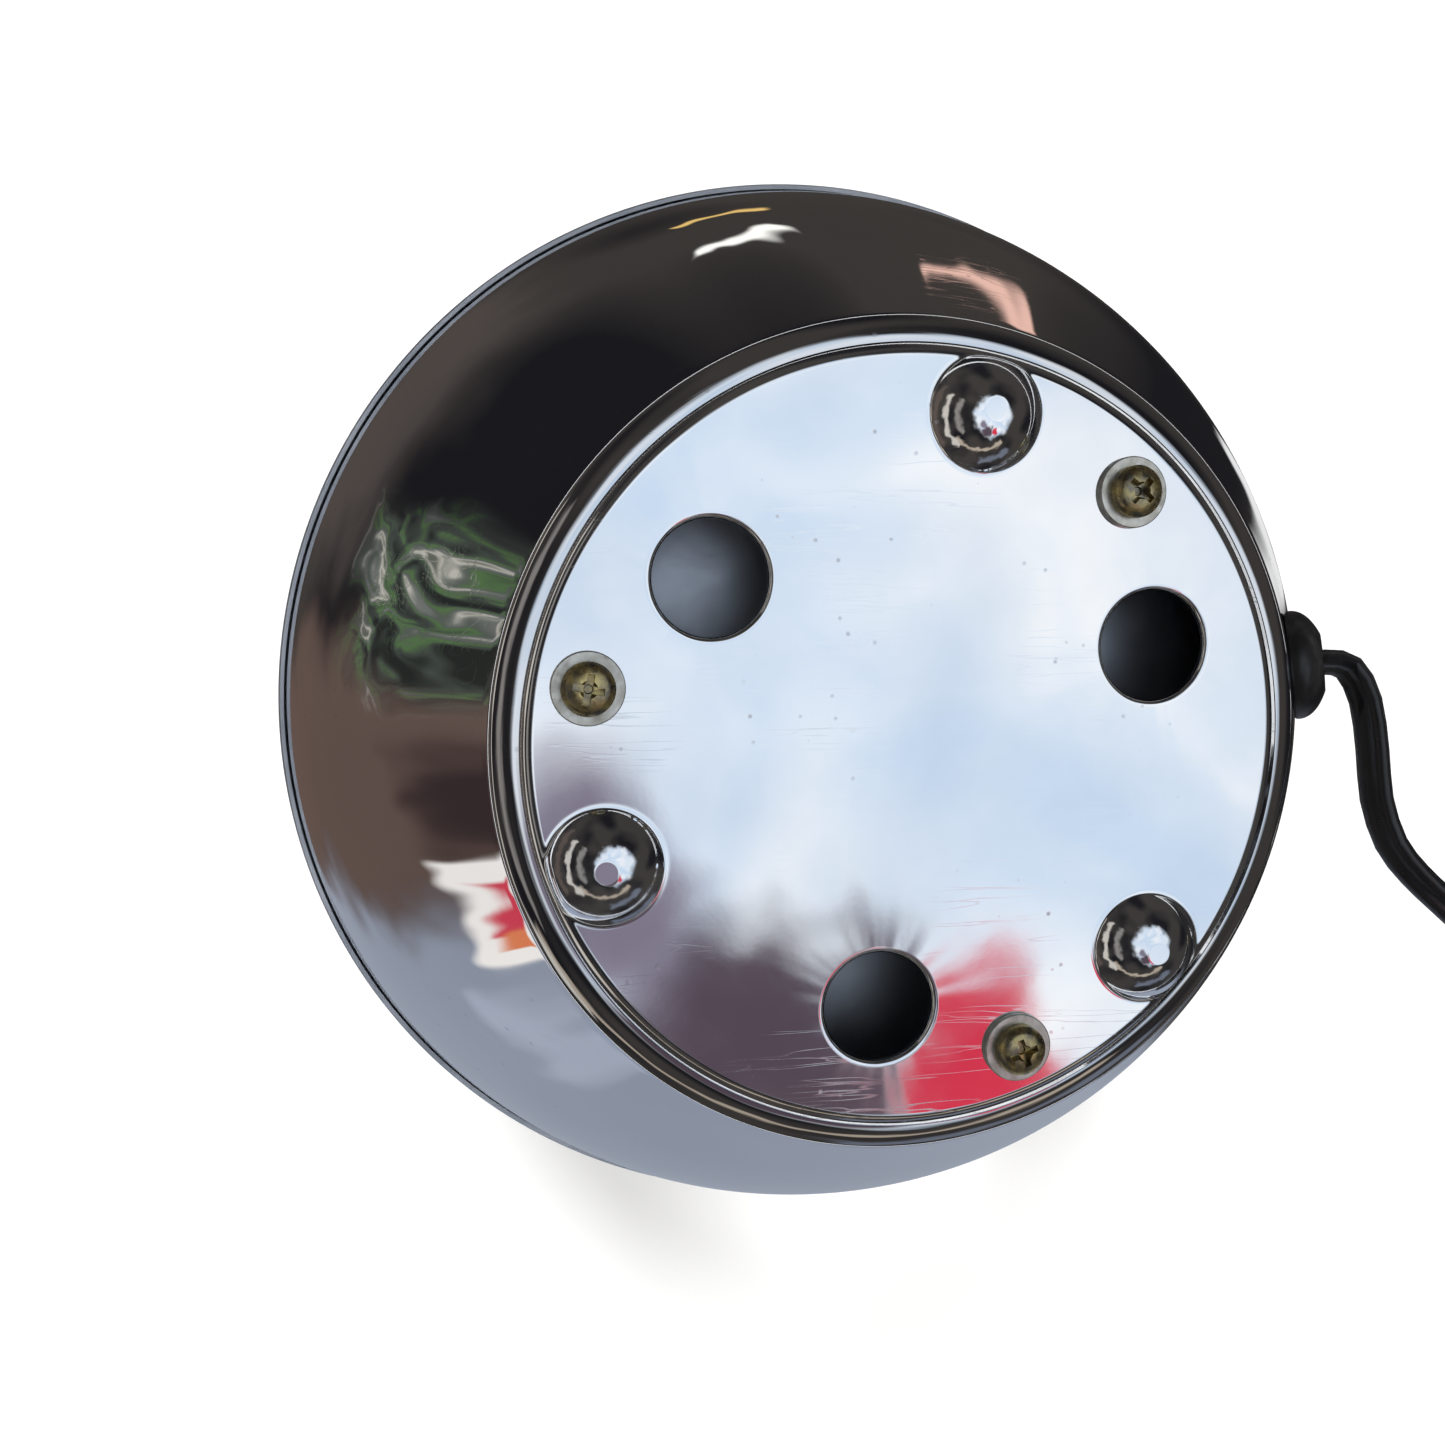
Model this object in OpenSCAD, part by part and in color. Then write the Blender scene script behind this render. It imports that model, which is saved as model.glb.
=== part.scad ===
// Corded flash-bulb reflector head: a chromed bowl on a vented, three-footed
// base plate, with an inner reflector dish, a porcelain screw lampholder, a
// screw-cap flash bulb and a flat twin cord with an in-line rocker switch.
// Origin: on the bowl's axis at the height of the feet; +Z up out of the mouth.

/* [Bowl] */
// Diameter across the rolled rim of the bowl
mouth_d = 187; // [150:1:240]
// Height of the rim above the table
rim_h = 68; // [55:1:95]
// Sheet thickness of the bowl
shell_t = 0.9; // [0.7:0.1:1.2]
// Sheet thickness of the inner reflector dish
dish_t = 0.7; // [0.5:0.1:1.0]

/* [Base plate] */
// Diameter of the base plate
plate_d = 104.8; // [85:0.1:125]
// Sheet thickness of the base plate
plate_t = 0.8; // [0.6:0.1:1.2]
// Height of the pressed feet below the plate
foot_h = 3.6; // [3.3:0.1:6]
// Diameter of a pressed foot where it leaves the plate
foot_d = 15.2; // [12:0.1:18]
// Diameter of each vent hole
vent_d = 15; // [10:0.1:18]
// Distance of the vent holes from the axis
vent_pitch_r = 35.7; // [30:0.1:42]
// Distance of the plate screws from the axis
screw_pitch_r = 44.5; // [38:0.1:52]
// Distance of the feet from the axis
foot_pitch_r = 44.3; // [38:0.1:52]

/* [Lampholder and bulb] */
// Major diameter of the bulb cap's screw thread
cap_thread_d = 25.9; // [20:0.1:27]
// Pitch of the screw thread
thread_pitch = 3.63; // [3:0.01:4]
// Diameter of the bulb's glass
bulb_d = 50; // [40:1:62]
// Height of the bulb from the contact to the top of the glass
bulb_h = 100; // [85:1:120]

/* [Cord, switch and plug] */
// Width of the flat twin cord
cord_w = 4.4; // [3.6:0.1:6]
// Thickness of the flat twin cord
cord_t = 2.6; // [2.2:0.1:3.5]
// Radius of the coil's centre line
coil_r = 25; // [22:1:32]
// Length of the in-line switch
switch_l = 62; // [50:1:75]
// Diameter of a plug pin
pin_d = 4; // [3.5:0.1:5]
// Distance between the plug pins
pin_gap = 18.6; // [15:0.1:22]

/* [Hidden] */
$fn = 96;

// --- angles about +Z of the three-fold patterns and of the cord's exit ---
vent_a = 68;
plate_screw_a = 40.5;
foot_a = 10.5;
exit_a = 80.4;
holder_screw_a = 98;

// --- shared clearances ---
gap_fit = 0.05;       // turned part in its own hole
gap_slip = 0.3;       // parts that move past each other
gap_thread = 0.45;    // radial room between the two screw threads
eps = 0.01;

// --- plate hardware ---
screw_r = 1.75;
screw_hole_r = 1.95;
head_r = 3.45;
head_h = 2.2;
head_rim_h = 1.1;
recess_w = 0.95;
recess_l = 4;
recess_depth = 1.3;
washer_r = 4.75;
washer_t = 0.8;
nut_af = 7.9;
nut_h = 2.9;
lug_r = 6;

// --- base plate ---
plate_r = plate_d / 2;
plate_z = foot_h;
plate_top = plate_z + plate_t;
foot_flat_r = 1.5;
foot_r = foot_d / 2;
foot_drop = (foot_r * foot_r - foot_flat_r * foot_flat_r - foot_h * foot_h) / (2 * foot_h);   // sphere's centre above the plate
foot_sphere_r = sqrt(foot_r * foot_r + foot_drop * foot_drop);
foot_centre_z = foot_h + foot_drop;

// --- bowl profile: radius and height of the sheet's middle ---
mouth_r = mouth_d / 2;
bead_r = 1.7;
seat_z = plate_top + shell_t / 2;
flange_in_r = plate_r - 5.4;
lip_in_r = plate_r + 0.3;
lip_slope = 12;       // degrees from level of the narrow lip round the plate
lip_r = lip_in_r + 2.5;
lip_z = seat_z + (lip_r - lip_in_r) * tan(lip_slope);
shoulder_r = 1.5;
foot_slope = 53;      // degrees from level where the flank starts
rim_slope = 72;       // degrees from level where the flank ends
curl_r = bead_r - dish_t / 2;
bead_c = [mouth_r - bead_r, rim_h - bead_r];
flank_0 = shoulder(foot_slope);
flank_3 = bead_c + [0, -0.6];
flank_pull = 0.4 * norm(flank_3 - flank_0);
flank_1 = flank_0 + flank_pull * [cos(foot_slope), sin(foot_slope)];
flank_2 = flank_3 - flank_pull * [cos(rim_slope), sin(rim_slope)];
flank_steps = 22;

// --- cord exit through the flank ---
exit_t = 0.095;
hole_r = 4.5;
exit_p = bez(flank_0, flank_1, flank_2, flank_3, exit_t);
exit_dir = unit(bez_dir(flank_0, flank_1, flank_2, flank_3, exit_t));
exit_n = [exit_dir[1], -exit_dir[0]];
exit_drop = atan2(-exit_n[1], exit_n[0]);
grommet_r = 8;
grommet_head = 4.2;
grommet_back = 2;
grommet_back_r = 5.8;

// --- reflector dish ---
dish_floor_z = plate_top + 14.85;
dish_hole_r = 20.6;
dish_wall_r = bead_c[0] - curl_r;
dish_edge_z = rim_h - 5.5;
dish_lean = 0.7;      // how far the wall stands in from the bead where the bowl's sheet is close
dish_mid_r = 50;
dish_f4 = (pow(dish_wall_r - dish_lean, 2) - dish_mid_r * dish_mid_r) / (dish_edge_z - dish_floor_z);
dish_v = dish_edge_z - pow(dish_wall_r - dish_lean, 2) / dish_f4;
dish_join_r = 54;
dish_join = [dish_join_r, dish_v + dish_join_r * dish_join_r / dish_f4];
dish_ctrl = [dish_join_r - (dish_join[1] - dish_floor_z) * dish_f4 / (2 * dish_join_r), dish_floor_z];

// --- lampholder ---
dish_top = dish_floor_z + dish_t / 2;
dish_back = dish_floor_z - dish_t / 2;
holder_r = 19.6;
holder_flange_r = 29;
holder_flange_t = 5;
holder_z0 = plate_top + 4.2;
holder_top = dish_top + 26;
holder_floor = plate_top + 11.2;
holder_screw_r = 24.6;
holder_head_r = 3.6;
holder_head_h = 2;
holder_nut_h = 2.6;

// --- screw thread, as rolled: rounded crests and roots ---
thread_depth = 1;
cap_root_r = cap_thread_d / 2 - thread_depth;
sleeve_major_r = cap_thread_d / 2 + gap_thread;
sleeve_out_r = sleeve_major_r + 0.35;
sleeve_z0 = holder_floor + 6;
sleeve_z1 = holder_top - 3.5;
tip_z = holder_floor + 1.5;
cap_z0 = tip_z + 5.5;
cap_z1 = tip_z + 25.5;
turn_segs = 48;
turn_rows = 8;
thread_fade = 2;

// --- bulb ---
glass_t = 0.8;
bulb_r = bulb_d / 2;
bulb_c = tip_z + bulb_h - bulb_r;
neck_r = cap_root_r - 0.85;
neck_z = cap_z1 + 1;
neck_join_a = 30;
pinch_z = cap_z1 + 19;
lead_r = 0.4;
lead_l = 14;
primer_r = 1.3;

// --- switch, with its length along x and the cord entering at its ends ---
switch_w = 24;
switch_h = 17;
switch_split = 7;
switch_wall = 1.8;
switch_end_w = 12;
rocker_l = 19.4;
rocker_w = 10.4;
pivot_z = 12.5;
pivot_r = 1.25;
rocker_tilt = 7;
switch_boss_x = switch_l / 2 - 8;

// --- plug, lying flat ---
plug_t = 13.7;
plug_w = 35;
plug_l = 32;
plug_z = plug_t / 2;
pin_l = 19;
pin_r = pin_d / 2;
pin_seat = 8;               // depth of the pin's seat in the plug
pin_root_r = pin_r - 0.4;   // the root held in the plug
pin_root = pin_seat + 0.5;

// --- where the loose pieces lie on the table ---
lay_y = lip_r;                  // edge of the run beside the bowl
switch_at = [-111, lay_y + 60, 0];
coil_tube_r = 6.8;
coil_at = [-138, lay_y + 72 + coil_r + coil_tube_r + 3, 0];
plug_at = [coil_at[0] + 68, coil_at[1] + 2, 0];

// Which sub-part to build

// ---------- functions ----------
function unit(v) = v / norm(v);
function bez(a, b, c, d, t) = pow(1 - t, 3) * a + 3 * t * pow(1 - t, 2) * b + 3 * t * t * (1 - t) * c + pow(t, 3) * d;
function bez_dir(a, b, c, d, t) = pow(1 - t, 2) * (b - a) + 2 * t * (1 - t) * (c - b) + t * t * (d - c);
function polar(r, a, z) = [r * cos(a), r * sin(a), z];
// point of the bowl's rounded shoulder where the sheet rises at slope a
function shoulder(a) = [lip_r + shoulder_r * (sin(a) - sin(lip_slope)), lip_z + shoulder_r * (cos(lip_slope) - cos(a))];

// the two faces of a sheet that follows a middle line
function side_of(p, i) = let(a = p[max(i - 1, 0)], b = p[min(i + 1, len(p) - 1)], d = unit(b - a)) [-d[1], d[0]];
function face_line(p, off) = [for (i = [0:len(p) - 1]) let(q = p[i] + side_of(p, i) * off) [max(q[0], 0), q[1]]];
function backwards(p) = [for (i = [len(p) - 1:-1:0]) p[i]];
function sheet(p, t) = concat(face_line(p, -t / 2), backwards(face_line(p, t / 2)));

// smooth line through route points
function through(p, n) = let(m = len(p)) concat([for (i = [0:m - 2], k = [0:n - 1])
    let(a = p[max(i - 1, 0)], b = p[i], c = p[i + 1], d = p[min(i + 2, m - 1)], t = k / n)
    0.5 * (2 * b + (c - a) * t + (2 * a - 5 * b + 4 * c - d) * t * t + (3 * b - a - 3 * c + d) * t * t * t)], [p[m - 1]]);

// points of a closed skin around a line: n sides, w wide and t thick
function skin_points(p, w, t, n) = [for (i = [0:len(p) - 1])
    let(d = unit(p[min(i + 1, len(p) - 1)] - p[max(i - 1, 0)]), s = unit(cross(d, [0, 0, 1])), u = cross(s, d))
    for (k = [0:n - 1]) let(a = 360 * (k + 0.5) / n) p[i] + s * (w / 2 * cos(a)) + u * (t / 2 * sin(a))];
function skin_faces(m, n) = concat(
    [[for (k = [0:n - 1]) k]],
    [for (i = [0:m - 2], k = [0:n - 1]) [i * n + k, (i + 1) * n + k, (i + 1) * n + (k + 1) % n, i * n + (k + 1) % n]],
    [[for (k = [n - 1:-1:0]) (m - 1) * n + k]]);

// ---------- shared shapes ----------
module around(r, a) { rotate([0, 0, a]) translate([r, 0, 0]) children(); }
module three(r, a) { for (k = [0:2]) around(r, a + 120 * k) children(); }

module tube_line(p, w, t, n) { polyhedron(points = skin_points(p, w, t, n), faces = skin_faces(len(p), n), convexity = 6); }

module hex_nut(af, h, r) {
    difference() {
        cylinder(d = af / cos(30), h = h, $fn = 6);
        translate([0, 0, -eps]) cylinder(r = r, h = h + 2 * eps);
    }
}

// pan head pointing down from z = 0, with a cross recess
module pan_head(r, rim, h) {
    difference() {
        rotate_extrude() polygon([[0, 0], [r - 0.15, 0], [r, -0.2], [r, -rim], [r * 0.86, -rim - (h - rim) * 0.55], [r * 0.6, -rim - (h - rim) * 0.86], [r * 0.3, -h], [0, -h]]);
        for (a = [0, 90]) rotate([0, 0, a]) translate([-recess_l / 2, -recess_w / 2, -h - eps]) cube([recess_l, recess_w, recess_depth]);
        translate([0, 0, -h - eps]) cylinder(r1 = 1.15, r2 = 0.5, h = recess_depth + 0.3);
    }
}

// radius added by a thread at angle a and height z, 0 at the root and 1 at the crest
function crest(a, z) = 0.5 + 0.5 * cos(360 * z / thread_pitch - a);
function ease(x) = let(c = min(max(x, 0), 1)) c * c * (3 - 2 * c);
function fade(z, z0, z1) = ease((z - z0) / thread_fade) * ease((z1 - z) / thread_fade);
function rows(z0, z1) = ceil((z1 - z0) / thread_pitch * turn_rows);

// a thin threaded sleeve: one face threaded, the other plain
function thread_grid(z0, z1, r0, dr, t0, t1) = let(n = rows(z0, z1)) [for (i = [0:n]) let(z = z0 + (z1 - z0) * i / n)
    for (k = [0:turn_segs - 1]) let(a = 360 * k / turn_segs, w = fade(z, t0, t1), c = crest(a, z),
        r = r0 + dr * w * (dr > 0 ? c : 1 - c)) [r * cos(a), r * sin(a), z]];
function plain_grid(z0, z1, r) = [for (z = [z0, z1], k = [0:turn_segs - 1]) let(a = 360 * k / turn_segs) [r * cos(a), r * sin(a), z]];
function wall_faces(m, n, at, out) = [for (i = [0:m - 2], k = [0:n - 1])
    let(a = at + i * n + k, b = at + i * n + (k + 1) % n, c = a + n, d = b + n) each (out ? [[a, c, b], [b, c, d]] : [[a, b, c], [b, d, c]])];
function end_faces(n, outer, inner, top) = [for (k = [0:n - 1]) let(a = outer + k, b = outer + (k + 1) % n, c = inner + k, d = inner + (k + 1) % n)
    each (top ? [[a, c, b], [b, c, d]] : [[a, b, c], [b, d, c]])];
module threaded_wall(z0, z1, r0, dr, plain_r, t0, t1) {
    m = rows(z0, z1) + 1;
    n = turn_segs;
    outside = dr > 0;
    pts = concat(thread_grid(z0, z1, r0, dr, t0, t1), plain_grid(z0, z1, plain_r));
    at = m * n;
    polyhedron(points = pts, convexity = 8, faces = concat(
        wall_faces(m, n, 0, outside), wall_faces(2, n, at, !outside),
        outside ? end_faces(n, 0, at, false) : end_faces(n, at, 0, false),
        outside ? end_faces(n, (m - 1) * n, at + n, true) : end_faces(n, at + n, (m - 1) * n, true)));
}

// ---------- bowl ----------
shell_line = concat(
    [[flange_in_r, seat_z], [lip_in_r, seat_z]],
    [for (a = [lip_slope:8:foot_slope - 4]) shoulder(a)],
    [for (i = [0:flank_steps]) bez(flank_0, flank_1, flank_2, flank_3, i / flank_steps)]);

module exit_frame() { rotate([0, 0, exit_a]) translate([exit_p[0], 0, exit_p[1]]) rotate([0, 90 + exit_drop, 0]) children(); }

module outer_shell() {
    color([0.78, 0.8, 0.82]) difference() {
        union() {
            rotate_extrude() polygon(sheet(shell_line, shell_t));
            three(screw_pitch_r, plate_screw_a) translate([0, 0, plate_top]) {
                cylinder(r = lug_r, h = shell_t);
                translate([0, -lug_r, 0]) cube([flange_in_r - screw_pitch_r + 0.5, 2 * lug_r, shell_t]);
            }
        }
        three(screw_pitch_r, plate_screw_a) translate([0, 0, plate_top - 1]) cylinder(r = screw_hole_r, h = shell_t + 2);
        exit_frame() translate([0, 0, -4]) cylinder(r = hole_r, h = 8);
    }
}

module shell_nuts() {
    color([0.62, 0.62, 0.6]) three(screw_pitch_r, plate_screw_a) translate([0, 0, plate_top + shell_t])
        hex_nut(nut_af, nut_h, screw_r + gap_fit);
}

module bottom_plate() {
    color([0.8, 0.82, 0.85]) difference() {
        union() {
            translate([0, 0, plate_z]) cylinder(r = plate_r, h = plate_t);
            three(foot_pitch_r, foot_a) intersection() {
                translate([0, 0, foot_centre_z]) sphere(r = foot_sphere_r);
                cylinder(r = foot_r + 1, h = plate_z + plate_t / 2);
            }
        }
        three(foot_pitch_r, foot_a) intersection() {
            translate([0, 0, foot_centre_z]) sphere(r = foot_sphere_r - plate_t);
            translate([0, 0, plate_t]) cylinder(r = foot_r + 1, h = foot_centre_z + foot_sphere_r);
        }
        three(vent_pitch_r, vent_a) translate([0, 0, plate_z - 1]) cylinder(r = vent_d / 2, h = plate_t + 2);
        three(screw_pitch_r, plate_screw_a) translate([0, 0, plate_z - 1]) cylinder(r = screw_hole_r, h = plate_t + 2);
    }
}

module plate_washers() {
    color([0.6, 0.6, 0.58]) three(screw_pitch_r, plate_screw_a) translate([0, 0, plate_z - washer_t]) difference() {
        cylinder(r = washer_r, h = washer_t);
        translate([0, 0, -eps]) cylinder(r = screw_hole_r, h = washer_t + 2 * eps);
    }
}

module plate_screws() {
    color([0.55, 0.5, 0.38]) three(screw_pitch_r, plate_screw_a) translate([0, 0, plate_z - washer_t]) {
        pan_head(head_r, head_rim_h, head_h);
        translate([0, 0, -0.3]) cylinder(r = screw_r, h = washer_t + plate_t + shell_t + nut_h + 1.5);
    }
}

dish_line = concat(
    [[dish_hole_r, dish_floor_z], [30, dish_floor_z]],
    [for (i = [0:6]) let(t = i / 6) pow(1 - t, 2) * [dish_join_r - 10, dish_floor_z] + 2 * t * (1 - t) * dish_ctrl + t * t * dish_join],
    [for (i = [1:18]) let(r = dish_join_r + (dish_wall_r - dish_lean - dish_join_r) * i / 18) [r, dish_v + r * r / dish_f4]],
    [[dish_wall_r, dish_edge_z + 2.7]],
    [for (a = [180:-15:-45]) bead_c + curl_r * [cos(a), sin(a)]]);

module reflector_dish() {
    color([0.86, 0.87, 0.88]) difference() {
        rotate_extrude() polygon(sheet(dish_line, dish_t));
        for (s = [0, 180]) around(holder_screw_r, holder_screw_a + s) translate([0, 0, dish_back - 1]) cylinder(r = screw_hole_r, h = dish_t + 2);
    }
}

// ---------- lampholder ----------
term_a = [92, 142];
term_in = 5;
term_out = 18.4;
term_w = 7;
term_t = 0.8;
term_screw_r = 15.4;
slot_r = sleeve_major_r - 0.5;
rivet_r = 1.5;
rivet_x = 6.5;
pad_r = 3;

module lampholder_body() {
    color([0.93, 0.92, 0.88]) difference() {
        rotate_extrude() polygon([[0, holder_z0], [holder_r - 1, holder_z0], [holder_r, holder_z0 + 1], [holder_r, dish_top],
            [holder_flange_r, dish_top], [holder_flange_r, dish_top + holder_flange_t - 1.2], [holder_flange_r - 1.2, dish_top + holder_flange_t],
            [holder_r + 0.6, dish_top + holder_flange_t], [holder_r - 0.6, dish_top + holder_flange_t + 1.2], [holder_r - 0.6, holder_top - 1.2], [holder_r - 1.8, holder_top],
            [sleeve_out_r + 1.2, holder_top], [sleeve_out_r + gap_fit, holder_top - 1.2], [sleeve_out_r + gap_fit, sleeve_z0], [cap_root_r - 0.4, sleeve_z0], [cap_root_r - 0.4, holder_floor], [0, holder_floor]]);
        for (s = [0, 180]) around(holder_screw_r, holder_screw_a + s) translate([0, 0, dish_top - 1]) cylinder(r = screw_hole_r, h = holder_flange_t + 2);
        // slot for the sleeve terminal and hole for the rivet
        rotate([0, 0, term_a[0]]) translate([slot_r - term_t / 2 - 0.15, -2.2, holder_z0 - 1]) cube([term_t + 0.3, 4.4, sleeve_z0 - holder_z0 + 2]);
        rotate([0, 0, term_a[1]]) translate([rivet_x, 0, holder_z0 - 1]) cylinder(r = rivet_r + gap_fit, h = holder_floor - holder_z0 + 2);
        for (a = term_a) rotate([0, 0, a]) translate([term_screw_r, 0, holder_z0 - eps]) cylinder(r = 1.6, h = 3.5);
    }
}

module holder_screws() {
    color([0.72, 0.72, 0.7]) for (s = [0, 180]) around(holder_screw_r, holder_screw_a + s) translate([0, 0, dish_top + holder_flange_t]) {
        difference() {
            rotate_extrude() polygon([[0, 0], [holder_head_r, 0], [holder_head_r * 0.94, 0.7], [holder_head_r * 0.7, 1.5], [holder_head_r * 0.35, 1.9], [0, holder_head_h]]);
            translate([-holder_head_r - 1, -0.5, 1]) cube([2 * holder_head_r + 2, 1, 2]);
        }
        translate([0, 0, -holder_flange_t - dish_t - holder_nut_h - 1.5]) cylinder(r = screw_r, h = holder_flange_t + dish_t + holder_nut_h + 1.8);
    }
}

module holder_nuts() {
    color([0.72, 0.72, 0.7]) for (s = [0, 180]) around(holder_screw_r, holder_screw_a + s) translate([0, 0, dish_back - holder_nut_h])
        rotate([0, 0, 30]) hex_nut(nut_af, holder_nut_h, screw_r + gap_fit);
}

module thread_sleeve() {
    color([0.8, 0.68, 0.35]) threaded_wall(sleeve_z0, sleeve_z1, sleeve_major_r, -thread_depth, sleeve_out_r, sleeve_z0 + 1, sleeve_z1 - 1);
}

module centre_contact() {
    color([0.8, 0.66, 0.36]) rotate([0, 0, term_a[1]]) {
        difference() {
            translate([-3.5, -3, holder_floor]) cube([rivet_x + 6.3, 6, 0.5]);
            translate([rivet_x, 0, holder_floor - 1]) cylinder(r = rivet_r + gap_fit, h = 3);
        }
        translate([0, 0, holder_floor + 0.5]) cylinder(r = pad_r, h = tip_z - holder_floor - 0.5 - gap_fit);
    }
}

module centre_rivet() {
    color([0.78, 0.66, 0.4]) rotate([0, 0, term_a[1]]) translate([rivet_x, 0, 0]) {
        translate([0, 0, holder_floor + 0.5]) cylinder(r = 2.6, h = 0.7);
        translate([0, 0, holder_z0 - term_t - 0.5]) cylinder(r = rivet_r, h = holder_floor - holder_z0 + term_t + 1.2);
        translate([0, 0, holder_z0 - term_t - 0.7]) cylinder(r = 2.6, h = 0.7);
    }
}

module terminal_foot(r0) {
    difference() {
        translate([r0, -term_w / 2, holder_z0 - term_t]) cube([term_out - r0, term_w, term_t]);
        translate([term_screw_r, 0, holder_z0 - term_t - 1]) cylinder(r = 1.6, h = term_t + 2);
    }
}

module sleeve_terminal() {
    color([0.78, 0.66, 0.4]) rotate([0, 0, term_a[0]]) {
        terminal_foot(slot_r - term_t / 2 - 2);
        translate([slot_r - term_t / 2, -2, holder_z0 - term_t]) cube([term_t, 4, sleeve_z0 - holder_z0 + term_t]);
    }
}

module centre_terminal() {
    color([0.78, 0.66, 0.4]) rotate([0, 0, term_a[1]]) difference() {
        terminal_foot(rivet_x - 3);
        translate([rivet_x, 0, holder_z0 - term_t - 1]) cylinder(r = rivet_r + gap_fit, h = term_t + 2);
    }
}

module terminal_screws() {
    color([0.75, 0.68, 0.45]) for (a = term_a) around(term_screw_r, a) translate([0, 0, holder_z0 - term_t]) {
        difference() {
            translate([0, 0, -1.6]) cylinder(r = 2.7, h = 1.6);
            translate([-3, -0.4, -1.7]) cube([6, 0.8, 0.9]);
        }
        cylinder(r = 1.5, h = term_t + 3);
    }
}

// ---------- cord ----------
split_p = polar(38, 122, holder_z0 - 0.4);
exit_at = polar(exit_p[0], exit_a, exit_p[1]);
exit_out = polar(exit_n[0], exit_a, exit_n[1]);
lie_z = cord_t / 2 + 0.1;

inner_route = [split_p, polar(41.5, 114, holder_z0 + 0.4), polar(46.5, 101, holder_z0 + 2), polar(52.5, 87, exit_p[1] + 1.5), exit_at - 3 * exit_out];
outer_route = [exit_at, exit_at + 4.6 * exit_out, [9.9, lay_y + 11.8, 8.4], [5.2, lay_y + 13.9, 7.2], [-1.9, lay_y + 14.2, 5.6], [-8.8, lay_y + 14.2, 4.2],
    [-15.1, lay_y + 15.9, 2.9], [-19.7, lay_y + 19.6, 2.1], [-24, lay_y + 24.5, lie_z], [-33, lay_y + 35, lie_z], [-45, lay_y + 47, lie_z], [-59, lay_y + 56, 2.6], [switch_at[0] + switch_l / 2 + 7, switch_at[1], switch_split - 0.6], [switch_at[0] + switch_l / 2 - 6, switch_at[1], switch_split]];
link_route = [[switch_at[0] - switch_l / 2 + 6, switch_at[1], switch_split], [switch_at[0] - switch_l / 2 - 5, switch_at[1], switch_split - 0.6],
    [coil_at[0] - coil_r + 9, switch_at[1] + 5, 5.2], [coil_at[0] - coil_r + 1.5, switch_at[1] + 14, 4.4], [coil_at[0] - coil_r, switch_at[1] + 27, 4.6],
    [coil_at[0] - coil_r, coil_at[1] - 12, 5.4], [coil_at[0] - coil_r, coil_at[1], 6]];
tail_route = [[coil_at[0], coil_at[1] + coil_r, 6], [coil_at[0] + 12, coil_at[1] + coil_r - 1, 5.8], [coil_at[0] + 25, coil_at[1] + coil_r - 7, 5.6], [coil_at[0] + 36, coil_at[1] + 9, 5.8],
    [plug_at[0] - plug_l / 2 - 6, plug_at[1] + 0.8, plug_z - 0.4], [plug_at[0] - plug_l / 2 + 3, plug_at[1], plug_z]];
wire_a_route = [split_p - [0, 0.9, 0], polar(32, 117, holder_z0 - 1), polar(25, 106, holder_z0 - 1.2), polar(term_out + 0.1, term_a[0] + 2, holder_z0 - 0.9)];
wire_b_route = [split_p + [-0.9, 0.9, 0], polar(32, 127, holder_z0 - 1), polar(25, 134, holder_z0 - 1.2), polar(term_out + 0.1, term_a[1] - 2, holder_z0 - 0.9)];

module lead_wire_a() { color([0.16, 0.16, 0.17]) tube_line(through(wire_a_route, 4), 1.7, 1.7, 8); }
module lead_wire_b() { color([0.16, 0.16, 0.17]) tube_line(through(wire_b_route, 4), 1.7, 1.7, 8); }

module cord_grommet() {
    color([0.05, 0.05, 0.06]) exit_frame() difference() {
        rotate_extrude() polygon([[0, -shell_t / 2 - 0.4 - grommet_back], [grommet_back_r - 0.4, -shell_t / 2 - 0.4 - grommet_back], [grommet_back_r, -shell_t / 2 - 0.4],
            [hole_r - gap_fit, -shell_t / 2 - 0.4], [hole_r - gap_fit, shell_t / 2], [grommet_r, shell_t / 2], [grommet_r, shell_t / 2 + 0.8], [grommet_r * 0.95, shell_t / 2 + 1.8],
            [grommet_r * 0.83, shell_t / 2 + 2.9], [grommet_r * 0.66, shell_t / 2 + 3.7], [grommet_r * 0.5, shell_t / 2 + grommet_head], [0, shell_t / 2 + grommet_head]]);
        translate([-cord_t / 2, -(cord_w - cord_t) / 2, -6]) cube([cord_t, cord_w - cord_t, 14]);
        for (s = [-1, 1]) translate([0, s * (cord_w - cord_t) / 2, -6]) cylinder(r = cord_t / 2, h = 14);
    }
}

module cord_run() { color([0.04, 0.04, 0.05]) tube_line(through(concat(inner_route, outer_route), 2), cord_w, cord_t, 12); }
module cord_link() { color([0.04, 0.04, 0.05]) tube_line(through(link_route, 2), cord_w, cord_t, 12); }
module cord_tail() { color([0.04, 0.04, 0.05]) tube_line(through(tail_route, 2), cord_w, cord_t, 12); }
module cord_coil() { color([0.05, 0.05, 0.06]) translate([coil_at[0], coil_at[1], coil_tube_r]) rotate_extrude() translate([coil_r, 0]) circle(r = coil_tube_r); }
module coil_tie() {
    color([0.1, 0.1, 0.1]) translate([coil_at[0], coil_at[1] - coil_r, coil_tube_r]) rotate([0, 90, 0]) difference() {
        translate([0, 0, -3]) cylinder(r = coil_tube_r + 0.01, h = 6);
        translate([0, 0, -4]) cylinder(r = coil_tube_r - 0.5, h = 8);
    }
}

// ---------- switch ----------
module at_switch() { translate(switch_at) children(); }

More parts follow.
